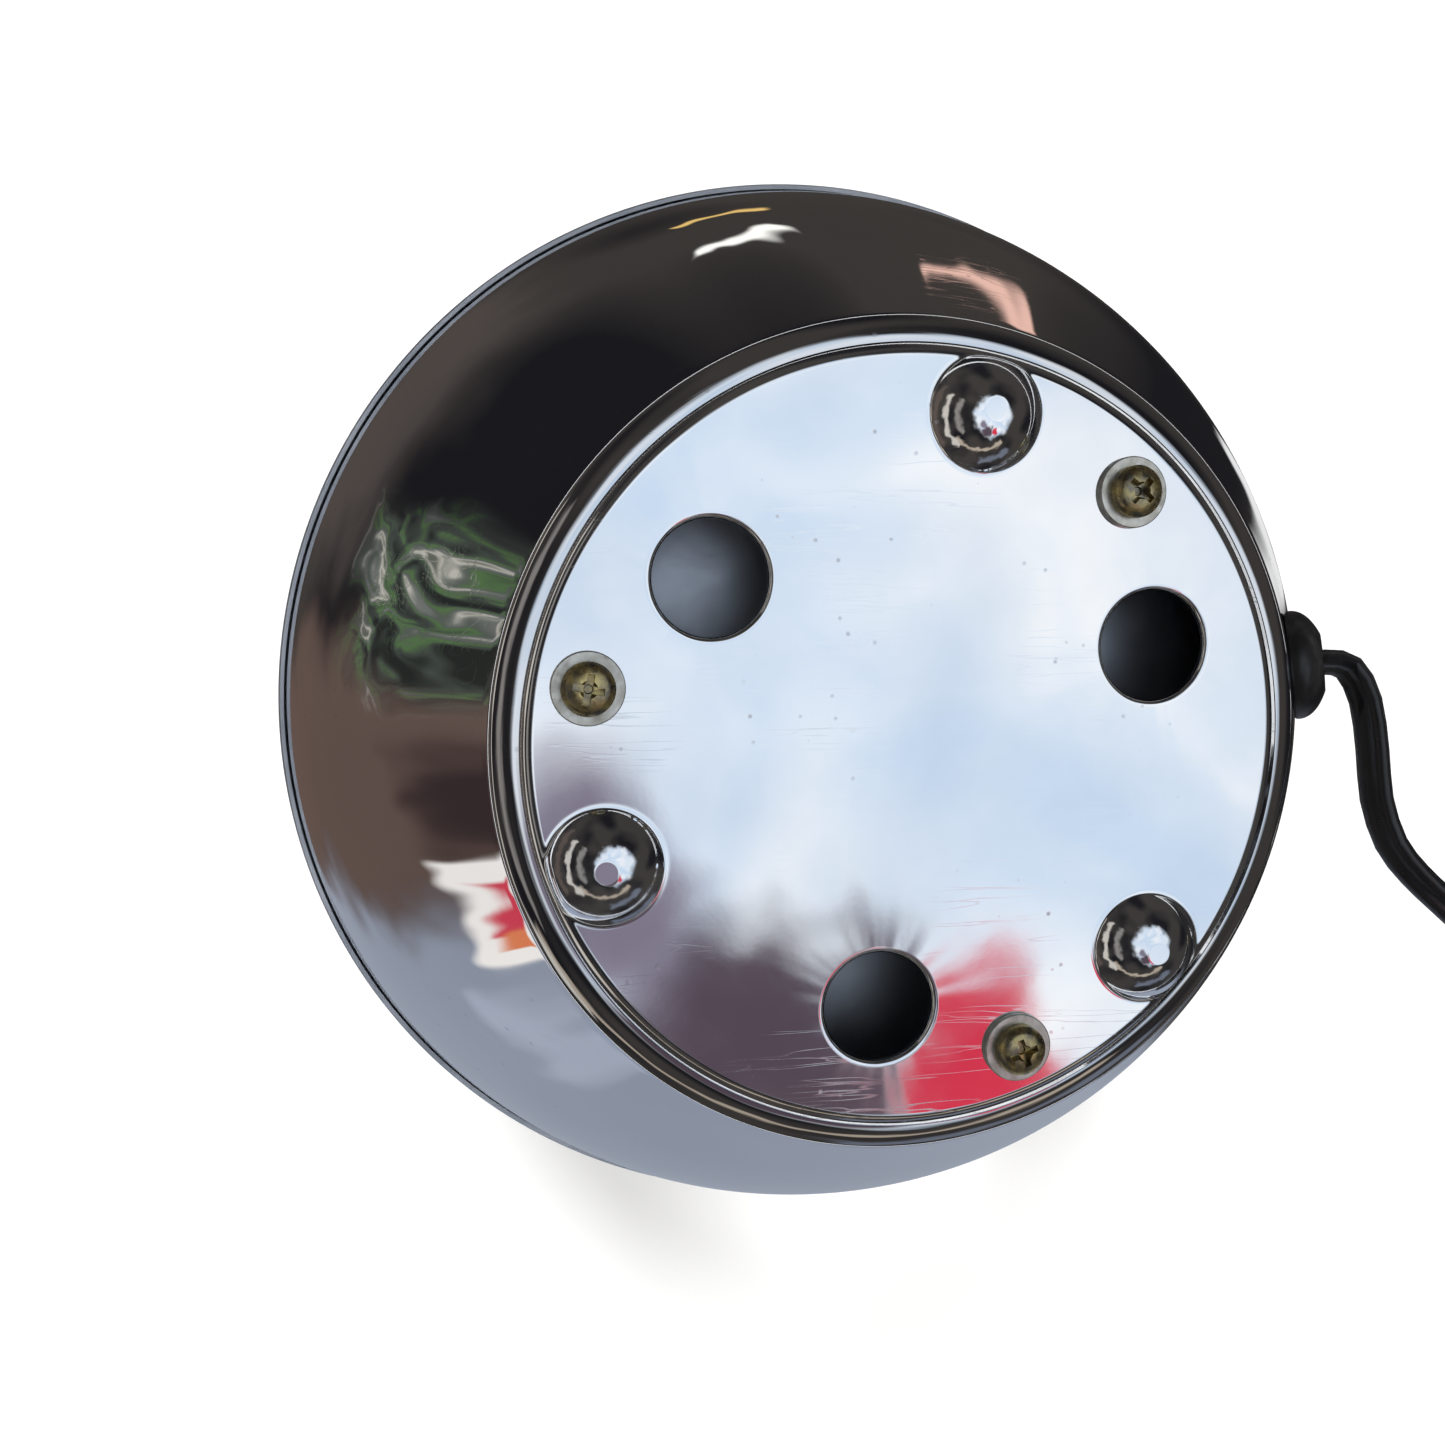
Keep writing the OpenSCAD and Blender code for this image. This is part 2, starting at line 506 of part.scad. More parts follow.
// outline of the switch seen from above: straight middle and narrower ends
module switch_plan(in) {
    a = switch_l / 2 - in;
    w = switch_w / 2 - in;
    e = switch_end_w / 2 - in;
    polygon([[-a, -e], [-a + 9, -w], [a - 9, -w], [a, -e], [a, e], [a - 9, w], [-a + 9, w], [-a, e]]);
}

module cord_mouth() {
    for (s = [-1, 1]) translate([s * switch_l / 2 - (s > 0 ? 6.5 : -6.5), 0, switch_split]) rotate([0, s * 90, 0]) {
        cube([cord_t, cord_w, 16], center = true);
    }
}

module switch_base() {
    color([0.06, 0.06, 0.07]) at_switch() difference() {
        union() {
            difference() {
                linear_extrude(switch_split) switch_plan(0);
                translate([0, 0, switch_wall]) linear_extrude(switch_split) switch_plan(switch_wall);
            }
            for (s = [-1, 1]) translate([s * switch_boss_x, 0, 0]) cylinder(r = 3.8, h = switch_split - cord_t / 2 - 0.2);
        }
        for (s = [-1, 1]) translate([s * switch_boss_x, 0, -1]) {
            cylinder(r = 1.7, h = switch_split + 2);
            cylinder(r = 3, h = 3.2);
        }
        cord_mouth();
    }
}

module switch_cover() {
    color([0.07, 0.07, 0.08]) at_switch() difference() {
        union() {
            difference() {
                translate([0, 0, switch_split]) linear_extrude(switch_h - switch_split) switch_plan(0);
                translate([0, 0, switch_split - 1]) linear_extrude(switch_h - switch_split + 1 - switch_wall) switch_plan(switch_wall);
            }
            for (s = [-1, 1]) {
                translate([s * switch_boss_x, 0, switch_split + cord_t / 2 + 0.2]) cylinder(r = 3, h = switch_h - switch_split - cord_t / 2 - 0.2 - switch_wall / 2);
                // ears that hold the pivot pin
                translate([-3, s * (rocker_w / 2 + gap_slip + 1) - 1, pivot_z - 3]) cube([6, 2, switch_h - pivot_z + 2]);
            }
        }
        translate([-rocker_l / 2 - gap_slip, -rocker_w / 2 - gap_slip, switch_split]) cube([rocker_l + 2 * gap_slip, rocker_w + 2 * gap_slip, switch_h]);
        translate([0, 0, pivot_z]) rotate([90, 0, 0]) cylinder(r = pivot_r + 0.02, h = rocker_w + 8, center = true);
        for (s = [-1, 1]) translate([s * switch_boss_x, 0, switch_split - 1]) cylinder(r = 1.25, h = switch_h - switch_split - 2);
        cord_mouth();
    }
}

module switch_screws() {
    color([0.6, 0.6, 0.6]) at_switch() for (s = [-1, 1]) translate([s * switch_boss_x, 0, 0.6]) {
        difference() {
            cylinder(r = 2.7, h = 1.6);
            translate([-3, -0.35, -0.1]) cube([6, 0.7, 0.8]);
        }
        translate([0, 0, 1.5]) cylinder(r = 1.2, h = 11);
    }
}

module switch_pivot() {
    color([0.7, 0.7, 0.7]) at_switch() translate([0, 0, pivot_z]) rotate([90, 0, 0]) cylinder(r = pivot_r, h = rocker_w + 4, center = true);
}

module rocker_frame() { at_switch() translate([0, 0, pivot_z]) rotate([0, -rocker_tilt, 0]) children(); }

module switch_rocker() {
    color([0.75, 0.1, 0.08]) rocker_frame() difference() {
        intersection() {
            rotate([90, 0, 0]) cylinder(r = rocker_l / 2, h = rocker_w, center = true);
            rotate([90, 0, 0]) linear_extrude(rocker_w, center = true)
                polygon([[-rocker_l / 2, -2.4], [-3, -2.4], [-3, -4], [3, -4], [3, -2.4], [rocker_l / 2, -2.4], [rocker_l / 2, 6.6], [0, 5.4], [-rocker_l / 2, 6.6]]);
        }
        rotate([90, 0, 0]) cylinder(r = pivot_r + gap_fit, h = rocker_w + 2, center = true);
    }
}

module rocker_bridge() {
    color([0.8, 0.62, 0.38]) rocker_frame() translate([-6, -2.5, -4.5]) cube([12, 5, 0.5]);
}

module switch_contacts() {
    color([0.8, 0.64, 0.38]) at_switch() for (s = [-1, 1]) {
        translate([s * 10 - 4, -3, switch_wall]) cube([8, 6, 0.6]);
        translate([s * 7.5 - 0.4 , -3, switch_wall]) cube([0.8, 6, 3.6]);
    }
}

// ---------- plug ----------
module at_plug() { translate(plug_at) children(); }

module plug_body() {
    color([0.05, 0.05, 0.06]) at_plug() difference() {
        linear_extrude(plug_t) polygon([[plug_l / 2, -plug_w / 2], [plug_l / 2, plug_w / 2], [plug_l / 2 - 14, plug_w / 2], [-plug_l / 2 + 8, 8], [-plug_l / 2, 5], [-plug_l / 2, -5], [-plug_l / 2 + 8, -8], [plug_l / 2 - 14, -plug_w / 2]]);
        translate([-plug_l / 2 - 1, -cord_w / 2, plug_z - cord_t / 2]) cube([4.2, cord_w, cord_t]);
        for (s = [-1, 1]) translate([plug_l / 2 - pin_seat, s * pin_gap / 2, plug_z]) rotate([0, 90, 0]) cylinder(r = pin_root_r, h = pin_seat + 1);
    }
}

module plug_pins() {
    color([0.8, 0.7, 0.45]) at_plug() for (s = [-1, 1]) translate([plug_l / 2 - pin_seat, s * pin_gap / 2, plug_z]) rotate([0, 90, 0]) {
        cylinder(r = pin_root_r, h = pin_root + eps);
        translate([0, 0, pin_root]) cylinder(r = pin_r, h = pin_seat + pin_l - 1 - pin_root);
        translate([0, 0, pin_seat + pin_l - 1]) cylinder(r1 = pin_r, r2 = pin_r - 1, h = 1);
    }
}

// ---------- bulb ----------
glass_join = [bulb_r * cos(neck_join_a), bulb_c - bulb_r * sin(neck_join_a)];
glass_line = concat(
    [[neck_r, cap_z0], [neck_r, neck_z - 2]],
    [for (i = [0:12]) bez([neck_r, neck_z], [neck_r, neck_z + 12], glass_join - 14 * [sin(neck_join_a), cos(neck_join_a)], glass_join, i / 12)],
    [for (a = [-neck_join_a + 5:5:85]) [bulb_r * cos(a), bulb_c + bulb_r * sin(a)]],
    [[0, bulb_c + bulb_r]]);
glass_inner = concat([for (p = face_line(glass_line, glass_t)) if (p[1] < bulb_c + bulb_r - glass_t - 0.02) p], [[0, bulb_c + bulb_r - glass_t]]);

module bulb_glass() {
    color([0.85, 0.92, 0.98, 0.4]) rotate_extrude() polygon(concat(glass_line, backwards(glass_inner)));
}

module bulb_cap() {
    color([0.82, 0.74, 0.5]) threaded_wall(cap_z0, cap_z1, cap_root_r, thread_depth, neck_r + 0.1, cap_z0 + 0.5, cap_z1 - 3.5);
}

module bulb_insulator() {
    color([0.08, 0.08, 0.1]) rotate_extrude() polygon([[0, tip_z + 1.4], [4.8, tip_z + 1.4], [5.4, tip_z + 2], [cap_root_r - 0.5, cap_z0 - 1], [cap_root_r - 0.3, cap_z0], [0, cap_z0]]);
}

module bulb_tip() {
    color([0.72, 0.72, 0.7]) rotate_extrude() polygon([[0, tip_z], [2.2, tip_z], [3.6, tip_z + 0.5], [4.4, tip_z + 1.4], [0, tip_z + 1.4]]);
}

module bulb_stem() {
    color([0.85, 0.92, 0.98, 0.4]) union() {
        rotate_extrude() polygon([[0, cap_z0 + 4], [neck_r - glass_t - 0.05, cap_z0 + 4], [neck_r - glass_t - 0.05, cap_z0 + 5], [5, cap_z0 + 9], [3.4, cap_z0 + 14], [3.4, pinch_z - 7], [0, pinch_z - 7]]);
        translate([-4.2, -1.8, pinch_z - 9]) cube([8.4, 3.6, 9]);
    }
}

module lead_frame(s) { translate([s * 2.6, 0, pinch_z]) rotate([0, s * 9, 0]) children(); }
module bulb_leads() { color([0.7, 0.66, 0.6]) for (s = [-1, 1]) lead_frame(s) translate([0, 0, 0.07]) cylinder(r = lead_r, h = lead_l); }
module bulb_primers() {
    color([0.35, 0.3, 0.28]) for (s = [-1, 1]) lead_frame(s) difference() {
        translate([0, 0, lead_l - 1]) sphere(r = primer_r);
        cylinder(r = lead_r, h = lead_l + 0.07);
    }
}
module bulb_filling() {
    color([0.88, 0.88, 0.9]) difference() {
        translate([0, 0, bulb_c]) sphere(r = bulb_r - glass_t - 0.2);
        translate([0, 0, bulb_c]) sphere(r = bulb_r - glass_t - 0.35);
        translate([0, 0, bulb_c - bulb_r]) cylinder(r = 12, h = 12);
    }
}

outer_shell();
shell_nuts();
bottom_plate();
plate_washers();
plate_screws();
reflector_dish();
lampholder_body();
holder_screws();
holder_nuts();
thread_sleeve();
centre_contact();
centre_rivet();
sleeve_terminal();
centre_terminal();
terminal_screws();
lead_wire_a();
lead_wire_b();
cord_grommet();
cord_run();
cord_link();
cord_coil();
coil_tie();
cord_tail();
switch_base();
switch_cover();
switch_screws();
switch_pivot();
switch_rocker();
rocker_bridge();
switch_contacts();
plug_body();
plug_pins();
bulb_glass();
bulb_cap();
bulb_insulator();
bulb_tip();
bulb_stem();
bulb_leads();
bulb_primers();
bulb_filling();
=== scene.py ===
"""Looks for a corded flash-bulb reflector head: a chromed bowl on a vented, footed base plate.

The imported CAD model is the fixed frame. Each class below holds one sub-assembly's sizes in
millimetres and builds its finished meshes in metres, in the same place as the CAD solids.
"""

import logging
import math
import random
from dataclasses import dataclass, field
from enum import Enum
from typing import Iterable, Sequence

import bmesh
import bpy
from mathutils import Matrix, Vector


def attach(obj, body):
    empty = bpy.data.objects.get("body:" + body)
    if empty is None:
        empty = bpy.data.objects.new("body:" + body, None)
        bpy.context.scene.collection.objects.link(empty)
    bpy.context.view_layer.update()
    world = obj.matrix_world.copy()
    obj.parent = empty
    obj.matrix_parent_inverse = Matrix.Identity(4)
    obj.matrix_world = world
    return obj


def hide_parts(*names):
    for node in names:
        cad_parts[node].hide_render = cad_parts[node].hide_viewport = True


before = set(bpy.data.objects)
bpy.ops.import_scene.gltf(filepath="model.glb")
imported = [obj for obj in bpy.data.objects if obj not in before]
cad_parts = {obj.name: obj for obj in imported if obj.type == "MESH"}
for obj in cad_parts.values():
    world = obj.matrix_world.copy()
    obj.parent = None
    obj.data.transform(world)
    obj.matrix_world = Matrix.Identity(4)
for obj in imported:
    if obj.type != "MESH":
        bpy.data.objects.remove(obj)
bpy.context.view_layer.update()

logging.basicConfig(level=logging.INFO, format="%(message)s")
LOG = logging.getLogger("flash_head")

MM = 0.001
TURN = 2 * math.pi
Point2 = tuple[float, float]
Point3 = tuple[float, float, float]

# sockets of the Mix node when it mixes colours, which share their names with its other kinds
MIX_A, MIX_B, MIX_OUT = 6, 7, 2


# ---------------------------------------------------------------- small tools
def linear(code: str) -> tuple[float, float, float, float]:
    """Turns an sRGB hex colour into linear RGBA.

    Args:
        code: six hex digits, such as "C8CCD0".

    Returns:
        The linear colour with full alpha.
    """
    def channel(byte: int) -> float:
        """One sRGB byte as a linear value."""
        c = byte / 255
        return c / 12.92 if c <= 0.04045 else ((c + 0.055) / 1.055) ** 2.4

    r, g, b = (channel(int(code[i:i + 2], 16)) for i in (0, 2, 4))
    return (r, g, b, 1.0)


def add_node(tree: bpy.types.NodeTree, kind: str, settings: dict | None = None,
             values: dict | None = None, links: dict | None = None) -> bpy.types.Node:
    """Adds one shader node with its settings, socket values and links.

    Args:
        tree: the node tree to add to.
        kind: the node's type name.
        settings: properties of the node.
        values: default values by input name or index.
        links: output sockets by input name or index.

    Returns:
        The new node.
    """
    node = tree.nodes.new(kind)
    for key, value in (settings or {}).items():
        setattr(node, key, value)
    for key, value in (values or {}).items():
        node.inputs[key].default_value = value
    for key, socket in (links or {}).items():
        tree.links.new(socket, node.inputs[key])
    return node


def polar(radius: float, degrees: float, z: float) -> Vector:
    """A point at a radius and angle about the bowl's axis."""
    a = math.radians(degrees)
    return Vector((radius * math.cos(a), radius * math.sin(a), z))


def bezier(points: Sequence[Vector], t: float) -> Vector:
    """The point at share t of a cubic with four control points."""
    a, b, c, d = points
    s = 1 - t
    return s ** 3 * a + 3 * s * s * t * b + 3 * s * t * t * c + t ** 3 * d


def through(points: Sequence[Vector], steps: int) -> list[Vector]:
    """A smooth line through route points.

    Args:
        points: the points the line passes through.
        steps: the pieces between one point and the next.

    Returns:
        The points of the smooth line.
    """
    line: list[Vector] = []
    last = len(points) - 1
    for i in range(last):
        a, b, c, d = points[max(i - 1, 0)], points[i], points[i + 1], points[min(i + 2, last)]
        for k in range(steps):
            t = k / steps
            line.append(0.5 * (2 * b + (c - a) * t + (2 * a - 5 * b + 4 * c - d) * t * t
                               + (3 * b - a - 3 * c + d) * t ** 3))
    return line + [points[last].copy()]


def sheet_outline(line: Sequence[Point2], thickness: float) -> list[Point2]:
    """The closed outline of a sheet that follows a middle line.

    Args:
        line: radius and height of the sheet's middle, in order.
        thickness: the sheet's thickness.

    Returns:
        The outline, first along one face and then back along the other.
    """
    faces: tuple[list[Point2], list[Point2]] = ([], [])
    for i, (r, z) in enumerate(line):
        before, after = line[max(i - 1, 0)], line[min(i + 1, len(line) - 1)]
        along = (Vector(after) - Vector(before)).normalized()
        for side, face in zip((-1, 1), faces):
            off = side * thickness / 2
            face.append((max(r - along.y * off, 0.0), z + along.x * off))
    return faces[0] + faces[1][::-1]


def lathe(outline: Sequence[Point2], steps: int, closed: bool = True) -> bmesh.types.BMesh:
    """Turns an outline once round the axis.

    Args:
        outline: radius and height of each corner, in millimetres.
        steps: the number of facets round the axis.
        closed: whether the outline's last point joins its first.

    Returns:
        A new bmesh, in metres, with its faces pointing outwards.
    """
    bm = bmesh.new()
    verts = [bm.verts.new((r * MM, 0, z * MM)) for r, z in outline]
    pairs = list(zip(verts, verts[1:])) + ([(verts[-1], verts[0])] if closed else [])
    edges = [bm.edges.new(pair) for pair in pairs]
    bmesh.ops.spin(bm, geom=verts + edges, cent=(0, 0, 0), axis=(0, 0, 1), dvec=(0, 0, 0),
                   angle=TURN, steps=steps, use_merge=True, use_duplicate=False)
    bmesh.ops.remove_doubles(bm, verts=bm.verts, dist=1e-7)
    bmesh.ops.dissolve_degenerate(bm, dist=1e-8, edges=bm.edges)
    bmesh.ops.recalc_face_normals(bm, faces=bm.faces)
    return bm


def arc(centre: Point2, radius: float, start: float, end: float, steps: int) -> list[Point2]:
    """Points of an arc in the plane of radius and height, angles in degrees."""
    return [(centre[0] + radius * math.cos(math.radians(start + (end - start) * i / steps)),
             centre[1] + radius * math.sin(math.radians(start + (end - start) * i / steps)))
            for i in range(steps + 1)]


def drawn_mesh(drawn: bpy.types.Object) -> bmesh.types.BMesh:
    """A drawn curve's surface as a bmesh; the curve's object is removed."""
    bpy.context.view_layer.update()
    seen = drawn.evaluated_get(bpy.context.evaluated_depsgraph_get())
    bm = bmesh.new()
    bm.from_mesh(bpy.data.meshes.new_from_object(seen))
    bpy.data.objects.remove(drawn)
    return bm


def new_piece(name: str, bm: bmesh.types.BMesh, crease: float = 30.0) -> bpy.types.Object:
    """Makes an object of a bmesh, smooth apart from edges sharper than crease.

    Args:
        name: the piece's name.
        bm: the mesh, which is freed.
        crease: the angle in degrees past which an edge stays sharp.

    Returns:
        The new object, at the origin.
    """
    mesh = bpy.data.meshes.new(name)
    bm.to_mesh(mesh)
    bm.free()
    mesh.polygons.foreach_set("use_smooth", [True] * len(mesh.polygons))
    mesh.set_sharp_from_angle(angle=math.radians(crease))
    piece = bpy.data.objects.new(name, mesh)
    bpy.context.scene.collection.objects.link(piece)
    return piece


def dress(piece: bpy.types.Object, body: str, slot: str, *nodes: str) -> bpy.types.Object:
    """Gives a piece its finish and body, and hides the CAD nodes it stands for.

    Args:
        piece: the finished piece.
        body: the CAD body it rides on.
        slot: the record's material slot, which also names the finish.
        nodes: the CAD nodes it replaces.

    Returns:
        The same piece.
    """
    piece.data.materials.clear()
    piece.data.materials.append(FINISHES[slot].material())
    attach(piece, body)
    if nodes:
        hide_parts(*nodes)
    LOG.info("%s: %s on %s", piece.name, slot, body)
    return piece


# ---------------------------------------------------------------- finishes
@dataclass(frozen=True)
class Surface:
    """One finish: what it is made of, how it was made, and how it has worn."""

    label: str
    light: str
    dark: str
    metallic: float = 0.0
    rough: tuple[float, float] = (0.3, 0.4)
    ior: float = 1.5
    mottle_mm: float = 12.0
    grain_mm: float = 1.0
    grain_depth_mm: float = 0.005
    wave_mm: float = 30.0
    wave_depth_mm: float = 0.0
    scratch: float = 0.0
    scratch_mm: float = 3.0
    specks: float = 0.0
    speck_mm: float = 1.6
    speck_colour: str = "808080"
    coat: float = 0.0
    see_through: float = 0.0
    streak_centres: tuple[Point3, ...] = ()
    turned_edge: Point3 | None = None

    def material(self) -> bpy.types.Material:
        """The finish as a material, made once and shared."""
        found = bpy.data.materials.get(self.label)
        return found or self._build()

    def _hairlines(self, tree: bpy.types.NodeTree, place: bpy.types.NodeSocket,
                   turn: Point3, seed: float) -> bpy.types.NodeSocket:
        """Long thin scratches in one direction, as the contour lines of a stretched noise.

        Args:
            tree: the material's tree.
            place: the socket with the surface's own coordinates.
            turn: how the scratches are turned, in radians.
            seed: shifts the pattern so that two sets differ.

        Returns:
            A socket that is 1 on a scratch and 0 beside it.
        """
        turned = add_node(tree, "ShaderNodeMapping", values={
            "Location": (seed, seed * 0.7, seed * 0.3), "Rotation": turn,
            "Scale": (1.0, 0.06, 1.0)}, links={"Vector": place})
        noise = add_node(tree, "ShaderNodeTexNoise",
                         values={"Scale": 1 / (self.scratch_mm * MM), "Detail": 3.0},
                         links={"Vector": turned.outputs["Vector"]})
        away = add_node(tree, "ShaderNodeMath", {"operation": "SUBTRACT"}, {1: 0.5},
                        {0: noise.outputs[0]})
        size = add_node(tree, "ShaderNodeMath", {"operation": "ABSOLUTE"},
                        links={0: away.outputs[0]})
        line = add_node(tree, "ShaderNodeMapRange", values={
            "From Min": 0.0, "From Max": 0.006, "To Min": 1.0, "To Max": 0.0},
            links={"Value": size.outputs[0]})
        # scratches come in patches, where the surface has been rubbed
        patch = add_node(tree, "ShaderNodeTexNoise",
                         values={"Scale": 1 / (self.scratch_mm * 6 * MM), "Detail": 2.0},
                         links={"Vector": place})
        rubbed = add_node(tree, "ShaderNodeMapRange", values={
            "From Min": 0.5, "From Max": 0.66}, links={"Value": patch.outputs[0]})
        both = add_node(tree, "ShaderNodeMath", {"operation": "MULTIPLY"},
                        links={0: line.outputs[0], 1: rubbed.outputs[0]})
        return both.outputs[0]

    def _specks(self, tree: bpy.types.NodeTree,
                place: bpy.types.NodeSocket) -> bpy.types.NodeSocket:
        """Pits and dust: 1 inside small scattered dots."""
        cells = add_node(tree, "ShaderNodeTexVoronoi", {"feature": "F1"},
                         {"Scale": 1 / (self.speck_mm * MM)}, {"Vector": place})
        dot = add_node(tree, "ShaderNodeMapRange", values={
            "From Min": 0.05, "From Max": 0.12, "To Min": 1.0, "To Max": 0.0},
            links={"Value": cells.outputs["Distance"]})
        some = add_node(tree, "ShaderNodeTexNoise",
                        values={"Scale": 1 / (self.speck_mm * 7 * MM), "Detail": 2.0},
                        links={"Vector": place})
        few = add_node(tree, "ShaderNodeMapRange", values={
            "From Min": 0.52, "From Max": 0.6}, links={"Value": some.outputs[0]})
        both = add_node(tree, "ShaderNodeMath", {"operation": "MULTIPLY"},
                        links={0: dot.outputs[0], 1: few.outputs[0]})
        return both.outputs[0]

    def _streaks(self, tree: bpy.types.NodeTree,
                 place: bpy.types.NodeSocket) -> bpy.types.NodeSocket:
        """Shallow dents that fan out from punched holes, as pressed sheet has.

        Args:
            tree: the material's tree.
            place: the socket with the surface's own coordinates.

        Returns:
            A socket with the height of the dents.
        """
        total: bpy.types.NodeSocket | None = None
        for x, y, z in self.streak_centres:
            moved = add_node(tree, "ShaderNodeVectorMath", {"operation": "SUBTRACT"},
                             {1: (x * MM, y * MM, z * MM)}, {0: place})
            way = add_node(tree, "ShaderNodeVectorMath", {"operation": "NORMALIZE"},
                           links={0: moved.outputs[0]})
            fan = add_node(tree, "ShaderNodeTexNoise", values={"Scale": 1.5, "Detail": 1.5},
                           links={"Vector": way.outputs[0]})
            far = add_node(tree, "ShaderNodeVectorMath", {"operation": "LENGTH"},
                           links={0: moved.outputs[0]})
            near = add_node(tree, "ShaderNodeMapRange", {"interpolation_type": "SMOOTHSTEP"}, {
                "From Min": 6 * MM, "From Max": 42 * MM, "To Min": 1.0, "To Max": 0.0},
                {"Value": far.outputs["Value"]})
            dent = add_node(tree, "ShaderNodeMath", {"operation": "MULTIPLY"},
                            links={0: fan.outputs[0], 1: near.outputs[0]})
            if total is None:
                total = dent.outputs[0]
            else:
                total = add_node(tree, "ShaderNodeMath", {"operation": "ADD"},
                                 links={0: total, 1: dent.outputs[0]}).outputs[0]
        return total

    def _build(self) -> bpy.types.Material:
        """Makes the material: colour, roughness and bump from the surface's own patterns."""
        mat = bpy.data.materials.new(self.label)
        mat.use_nodes = True
        tree = mat.node_tree
        tree.nodes.clear()
        place = add_node(tree, "ShaderNodeTexCoord").outputs["Object"]
        mottle = add_node(tree, "ShaderNodeTexNoise",
                          values={"Scale": 1 / (self.mottle_mm * MM), "Detail": 4.0},
                          links={"Vector": place})
        spread = add_node(tree, "ShaderNodeMapRange", values={"From Min": 0.35, "From Max": 0.65},
                          links={"Value": mottle.outputs[0]})
        colour = add_node(tree, "ShaderNodeMix", {"data_type": "RGBA"},
                          {MIX_A: linear(self.dark), MIX_B: linear(self.light)},
                          {0: spread.outputs[0]}).outputs[MIX_OUT]
        smear = add_node(tree, "ShaderNodeTexNoise",
                         values={"Scale": 1 / (self.mottle_mm * 0.6 * MM), "Detail": 5.0,
                                 "Distortion": 0.6}, links={"Vector": place})
        rough = add_node(tree, "ShaderNodeMapRange", values={
            "From Min": 0.35, "From Max": 0.65, "To Min": self.rough[0], "To Max": self.rough[1]},
            links={"Value": smear.outputs[0]}).outputs[0]
        grain = add_node(tree, "ShaderNodeTexNoise",
                         values={"Scale": 1 / (self.grain_mm * MM), "Detail": 3.0},
                         links={"Vector": place})
        height = add_node(tree, "ShaderNodeMath", {"operation": "MULTIPLY"},
                          {1: self.grain_depth_mm}, {0: grain.outputs[0]}).outputs[0]
        layers: list[tuple[bpy.types.NodeSocket, float]] = []
        if self.wave_depth_mm:
            wave = add_node(tree, "ShaderNodeTexNoise",
                            values={"Scale": 1 / (self.wave_mm * MM), "Detail": 1.0},
                            links={"Vector": place})
            layers.append((wave.outputs[0], self.wave_depth_mm))
        if self.streak_centres:
            layers.append((self._streaks(tree, place), self.wave_depth_mm * 0.5))
        if self.turned_edge:  # start and end radius, and how far the sheet curls away
            start, end, curl = self.turned_edge
            level = add_node(tree, "ShaderNodeVectorMath", {"operation": "MULTIPLY"},
                             {1: (1, 1, 0)}, {0: place})
            radius = add_node(tree, "ShaderNodeVectorMath", {"operation": "LENGTH"},
                              links={0: level.outputs[0]})
            share = add_node(tree, "ShaderNodeMapRange", values={
                "From Min": start * MM, "From Max": end * MM},
                links={"Value": radius.outputs["Value"]})
            bend = add_node(tree, "ShaderNodeMath", {"operation": "POWER"}, {1: 2.2},
                            {0: share.outputs[0]})
            layers.append((bend.outputs[0], -curl))
        if self.scratch:
            lines = add_node(tree, "ShaderNodeMath", {"operation": "MAXIMUM"}, links={
                0: self._hairlines(tree, place, (0.2, 0.1, 0.6), 0.13),
                1: self._hairlines(tree, place, (-0.3, 0.2, -0.9), 0.37)}).outputs[0]
            layers.append((lines, -0.004 * self.scratch))
            rough = add_node(tree, "ShaderNodeMath", {"operation": "MULTIPLY_ADD"},
                             {1: 0.3 * self.scratch}, {0: lines, 2: rough}).outputs[0]
        if self.specks:
            dots = self._specks(tree, place)
            layers.append((dots, -0.006 * self.specks))
            share = add_node(tree, "ShaderNodeMath", {"operation": "MULTIPLY"},
                             {1: 0.8 * self.specks}, {0: dots}).outputs[0]
            colour = add_node(tree, "ShaderNodeMix", {"data_type": "RGBA"},
                              {MIX_B: linear(self.speck_colour)},
                              {0: share, MIX_A: colour}).outputs[MIX_OUT]
            rough = add_node(tree, "ShaderNodeMath", {"operation": "MULTIPLY_ADD"},
                             {1: 0.4 * self.specks}, {0: dots, 2: rough}).outputs[0]
        for socket, depth in layers:
            height = add_node(tree, "ShaderNodeMath", {"operation": "MULTIPLY_ADD"},
                              {1: depth}, {0: socket, 2: height}).outputs[0]
        bump = add_node(tree, "ShaderNodeBump", values={"Strength": 1.0, "Distance": MM},
                        links={"Height": height})
        shader = add_node(tree, "ShaderNodeBsdfPrincipled", values={
            "Metallic": self.metallic, "Coat Weight": self.coat,
            "Transmission Weight": self.see_through},
            links={"Base Color": colour, "Roughness": rough, "Normal": bump.outputs[0]})
        if not self.metallic:
            shader.inputs["IOR"].default_value = self.ior
        add_node(tree, "ShaderNodeOutputMaterial", links={"Surface": shader.outputs[0]})
        return mat


def three_fold(radius: float, degrees: float, z: float) -> tuple[Point3, ...]:
    """Three points a third of a turn apart."""
    return tuple(tuple(polar(radius, degrees + 120 * k, z)) for k in range(3))


